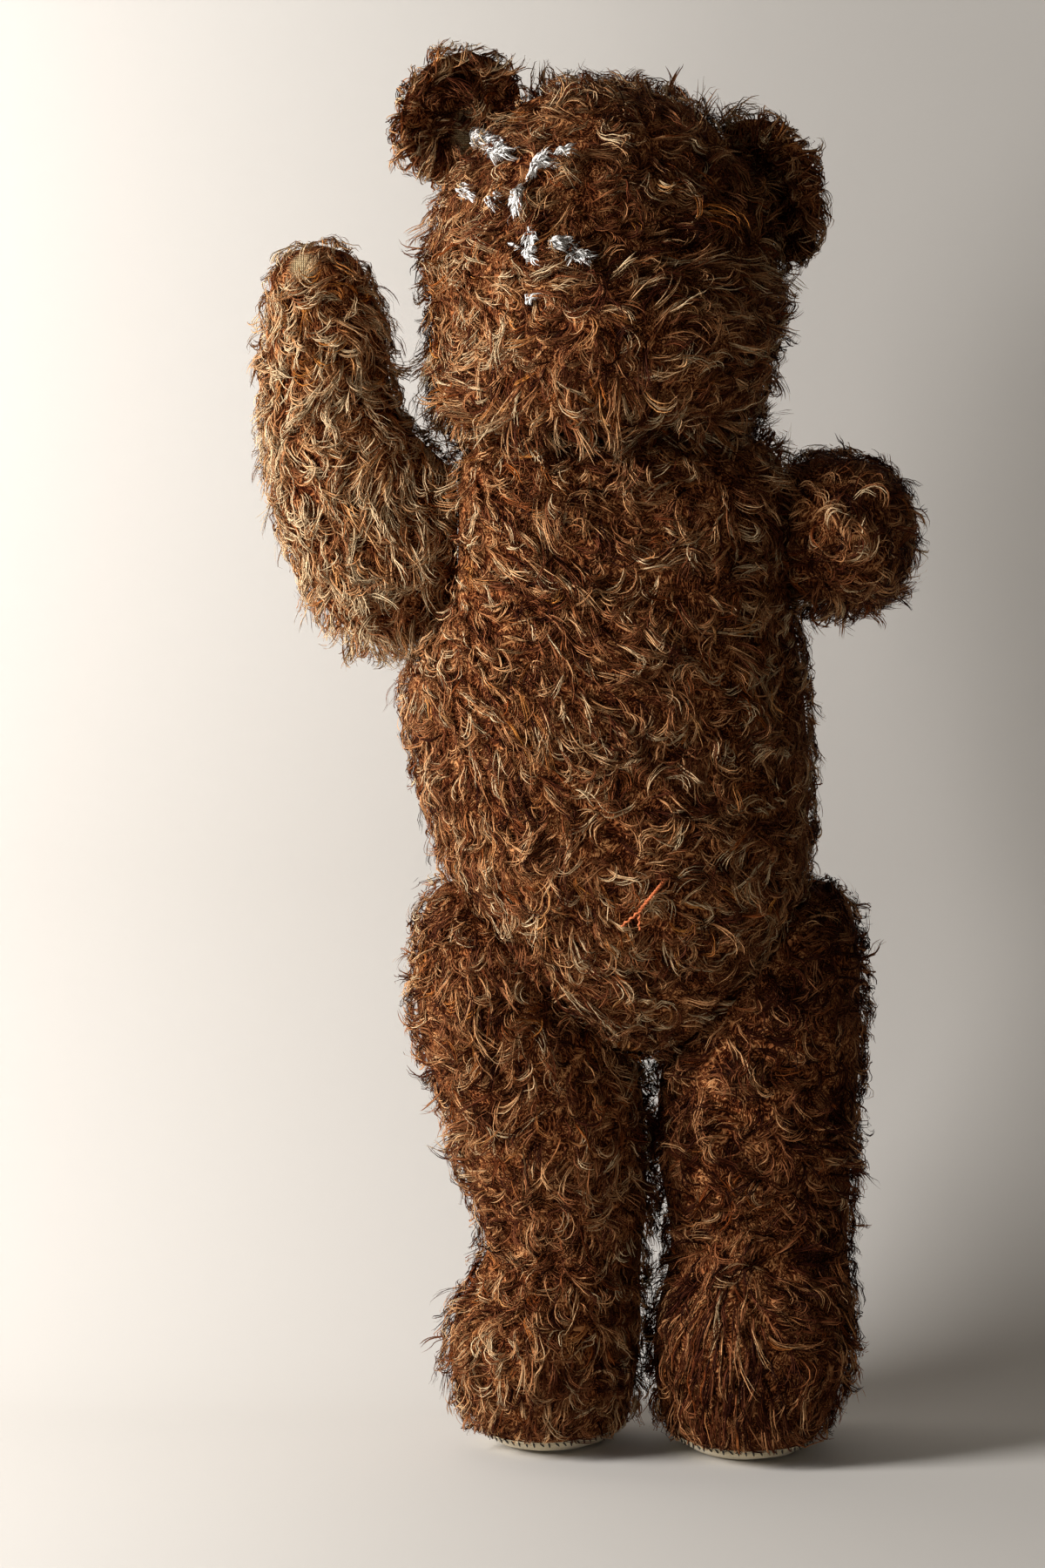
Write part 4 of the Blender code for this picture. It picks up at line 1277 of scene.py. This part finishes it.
# %% [markdown]
# ## The loose thread
#
# A mending thread has come undone on the belly. It is two plies twisted together, it comes out of the pile at one
# end, lies over the fur, and its end has parted into a long ply and a short one.

# %% The thread on the belly
PLY_RADIUS = 0.42 * MM
PLY_SHARE = 0.85  # of its radius that a ply's middle lies off the thread's
PLY_STEPS = 70
PLY_SIDES = 6
TWIST_LENGTH = 2.6 * MM
END_SIZE = 0.55
PROUD = 5.0 * MM  # of the cloth, so that the thread lies over the pile
HELD_FROM, HELD_DEPTH = 0.9, 1 * MM  # where the thread comes out of the cloth
PLIES = (  # shares of the thread's box that each ply runs through
    [(0.97, 1.0), (0.6, 0.62), (0.3, 0.28), (0.03, 0.06)],
    [(0.97, 1.0), (0.6, 0.62), (0.36, 0.33), (0.34, 0.0)],
)


def tube(made, path):
    """Adds a closed tube along a path to a bmesh."""
    last = len(path) - 1
    turns = [FULL_TURN * j / PLY_SIDES for j in range(PLY_SIDES)]
    rings = []
    for k, point in enumerate(path):
        way = (path[min(k + 1, last)] - path[max(k - 1, 0)]).normalized()
        across = way.cross(Vector((0.3, 1, 0.2))).normalized()
        other = way.cross(across)
        size = PLY_RADIUS * (END_SIZE if k in (0, last) else 1)
        rings.append([made.verts.new(point + (across * math.cos(t) + other * math.sin(t)) * size) for t in turns])
    for lower, upper in zip(rings, rings[1:]):
        for j in range(PLY_SIDES):
            made.faces.new((lower[j], lower[j - 1], upper[j - 1], upper[j]))
    made.faces.new(rings[0])
    made.faces.new(rings[-1])


def loose_thread():
    cloth = BVHTree.FromObject(skins["torso"], bpy.context.evaluated_depsgraph_get())
    backwards = Vector((0, 1, 0))
    made = bmesh.new()
    for ply, shares in enumerate(PLIES):
        points = []
        for across, up in shares:
            at = inside("belly_thread", across, 0, up)
            surface = cloth.ray_cast(Vector((at.x, -0.4, at.z)), backwards)[0]
            points.append(surface - backwards * (PROUD if across < HELD_FROM else -HELD_DEPTH))
        path, ways, length = smooth_path(points, PLY_STEPS)
        twisted = []
        for k, (point, way) in enumerate(zip(path, ways)):
            turn = FULL_TURN * length * k / (PLY_STEPS - 1) / TWIST_LENGTH + math.pi * ply
            across = way.cross(backwards).normalized()
            off = (across * math.cos(turn) + way.cross(across) * math.sin(turn)) * PLY_RADIUS * PLY_SHARE
            twisted.append(point + off)
        tube(made, twisted)
    bmesh.ops.recalc_face_normals(made, faces=made.faces)
    mesh = closed(made, "loose_thread")
    mesh.materials.append(thread_material("orange_thread", (0.42, 0.075, 0.016), (0.80, 0.24, 0.07)))
    return in_scene("loose_thread", mesh)


thread = loose_thread()

# %% [markdown]
# ## What is inside
#
# The parts that the cloth hides keep the frame's shapes, and take simple finishes of their own: wood wool, brown
# hardboard with its short fibres, grey steel with fine scratches, and thin card.

# %% Finishes of the hidden parts


def hidden_material(name, dark, light, stretch, scale, roughness, metallic=0.0):
    made, w, shader = new_material(name, Roughness=roughness, Metallic=metallic)
    grain = w.noise(object_place(w) * stretch, scale, 4.0)
    finish(w, shader, mix(w, w.step(grain, 0.3, 0.7), dark, light), grain, 0.4, 0.0005)
    return made


HIDDEN = {
    "wood_wool": hidden_material("wood_wool", (0.30, 0.19, 0.08), (0.68, 0.52, 0.30), (1.0, 1.0, 0.2), 700.0, 0.9),
    "hardboard": hidden_material("hardboard", (0.16, 0.085, 0.04), (0.27, 0.16, 0.085), (1.0, 1.0, 1.0), 900.0, 0.8),
    "steel": hidden_material("pin_steel", (0.32, 0.31, 0.29), (0.55, 0.54, 0.52), (1.0, 0.1, 1.0), 1500.0, 0.35, 1.0),
    "card": hidden_material("card", (0.34, 0.26, 0.16), (0.48, 0.39, 0.26), (1.0, 0.3, 1.0), 600.0, 0.9),
}
for part in frame["nodes"].values():
    for slot in part.material_slots:
        if slot.material and slot.material.name in HIDDEN:
            slot.material = HIDDEN[slot.material.name]

# %% [markdown]
# ## Hanging it all on the frame
#
# The pieces that show ride on the frame's bodies. The skins stand for the covers, and the stuffing, discs, washers
# and pins stay where they are inside.

# %% Riding and replacing
body_of = {"torso_front_pile": "torso", "torso_back_pile": "torso"}
body_of |= {name: "head" for name in ("right_ear_pile", "left_ear_pile", "white_tufts")}
for name, pile in piles.items():
    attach(pile, body_of.get(name, name.removesuffix("_pile")))
for body, skin in skins.items():
    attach(skin, body)
    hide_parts(f"{body}_cover")
for node, ear in ears.items():
    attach(ear, "head")
    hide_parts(node)
for leg, sole in soles.items():
    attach(sole, leg)
    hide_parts(f"{leg}_sole")
    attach(stitches[leg], leg)

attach(thread, "torso")
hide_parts("belly_thread")
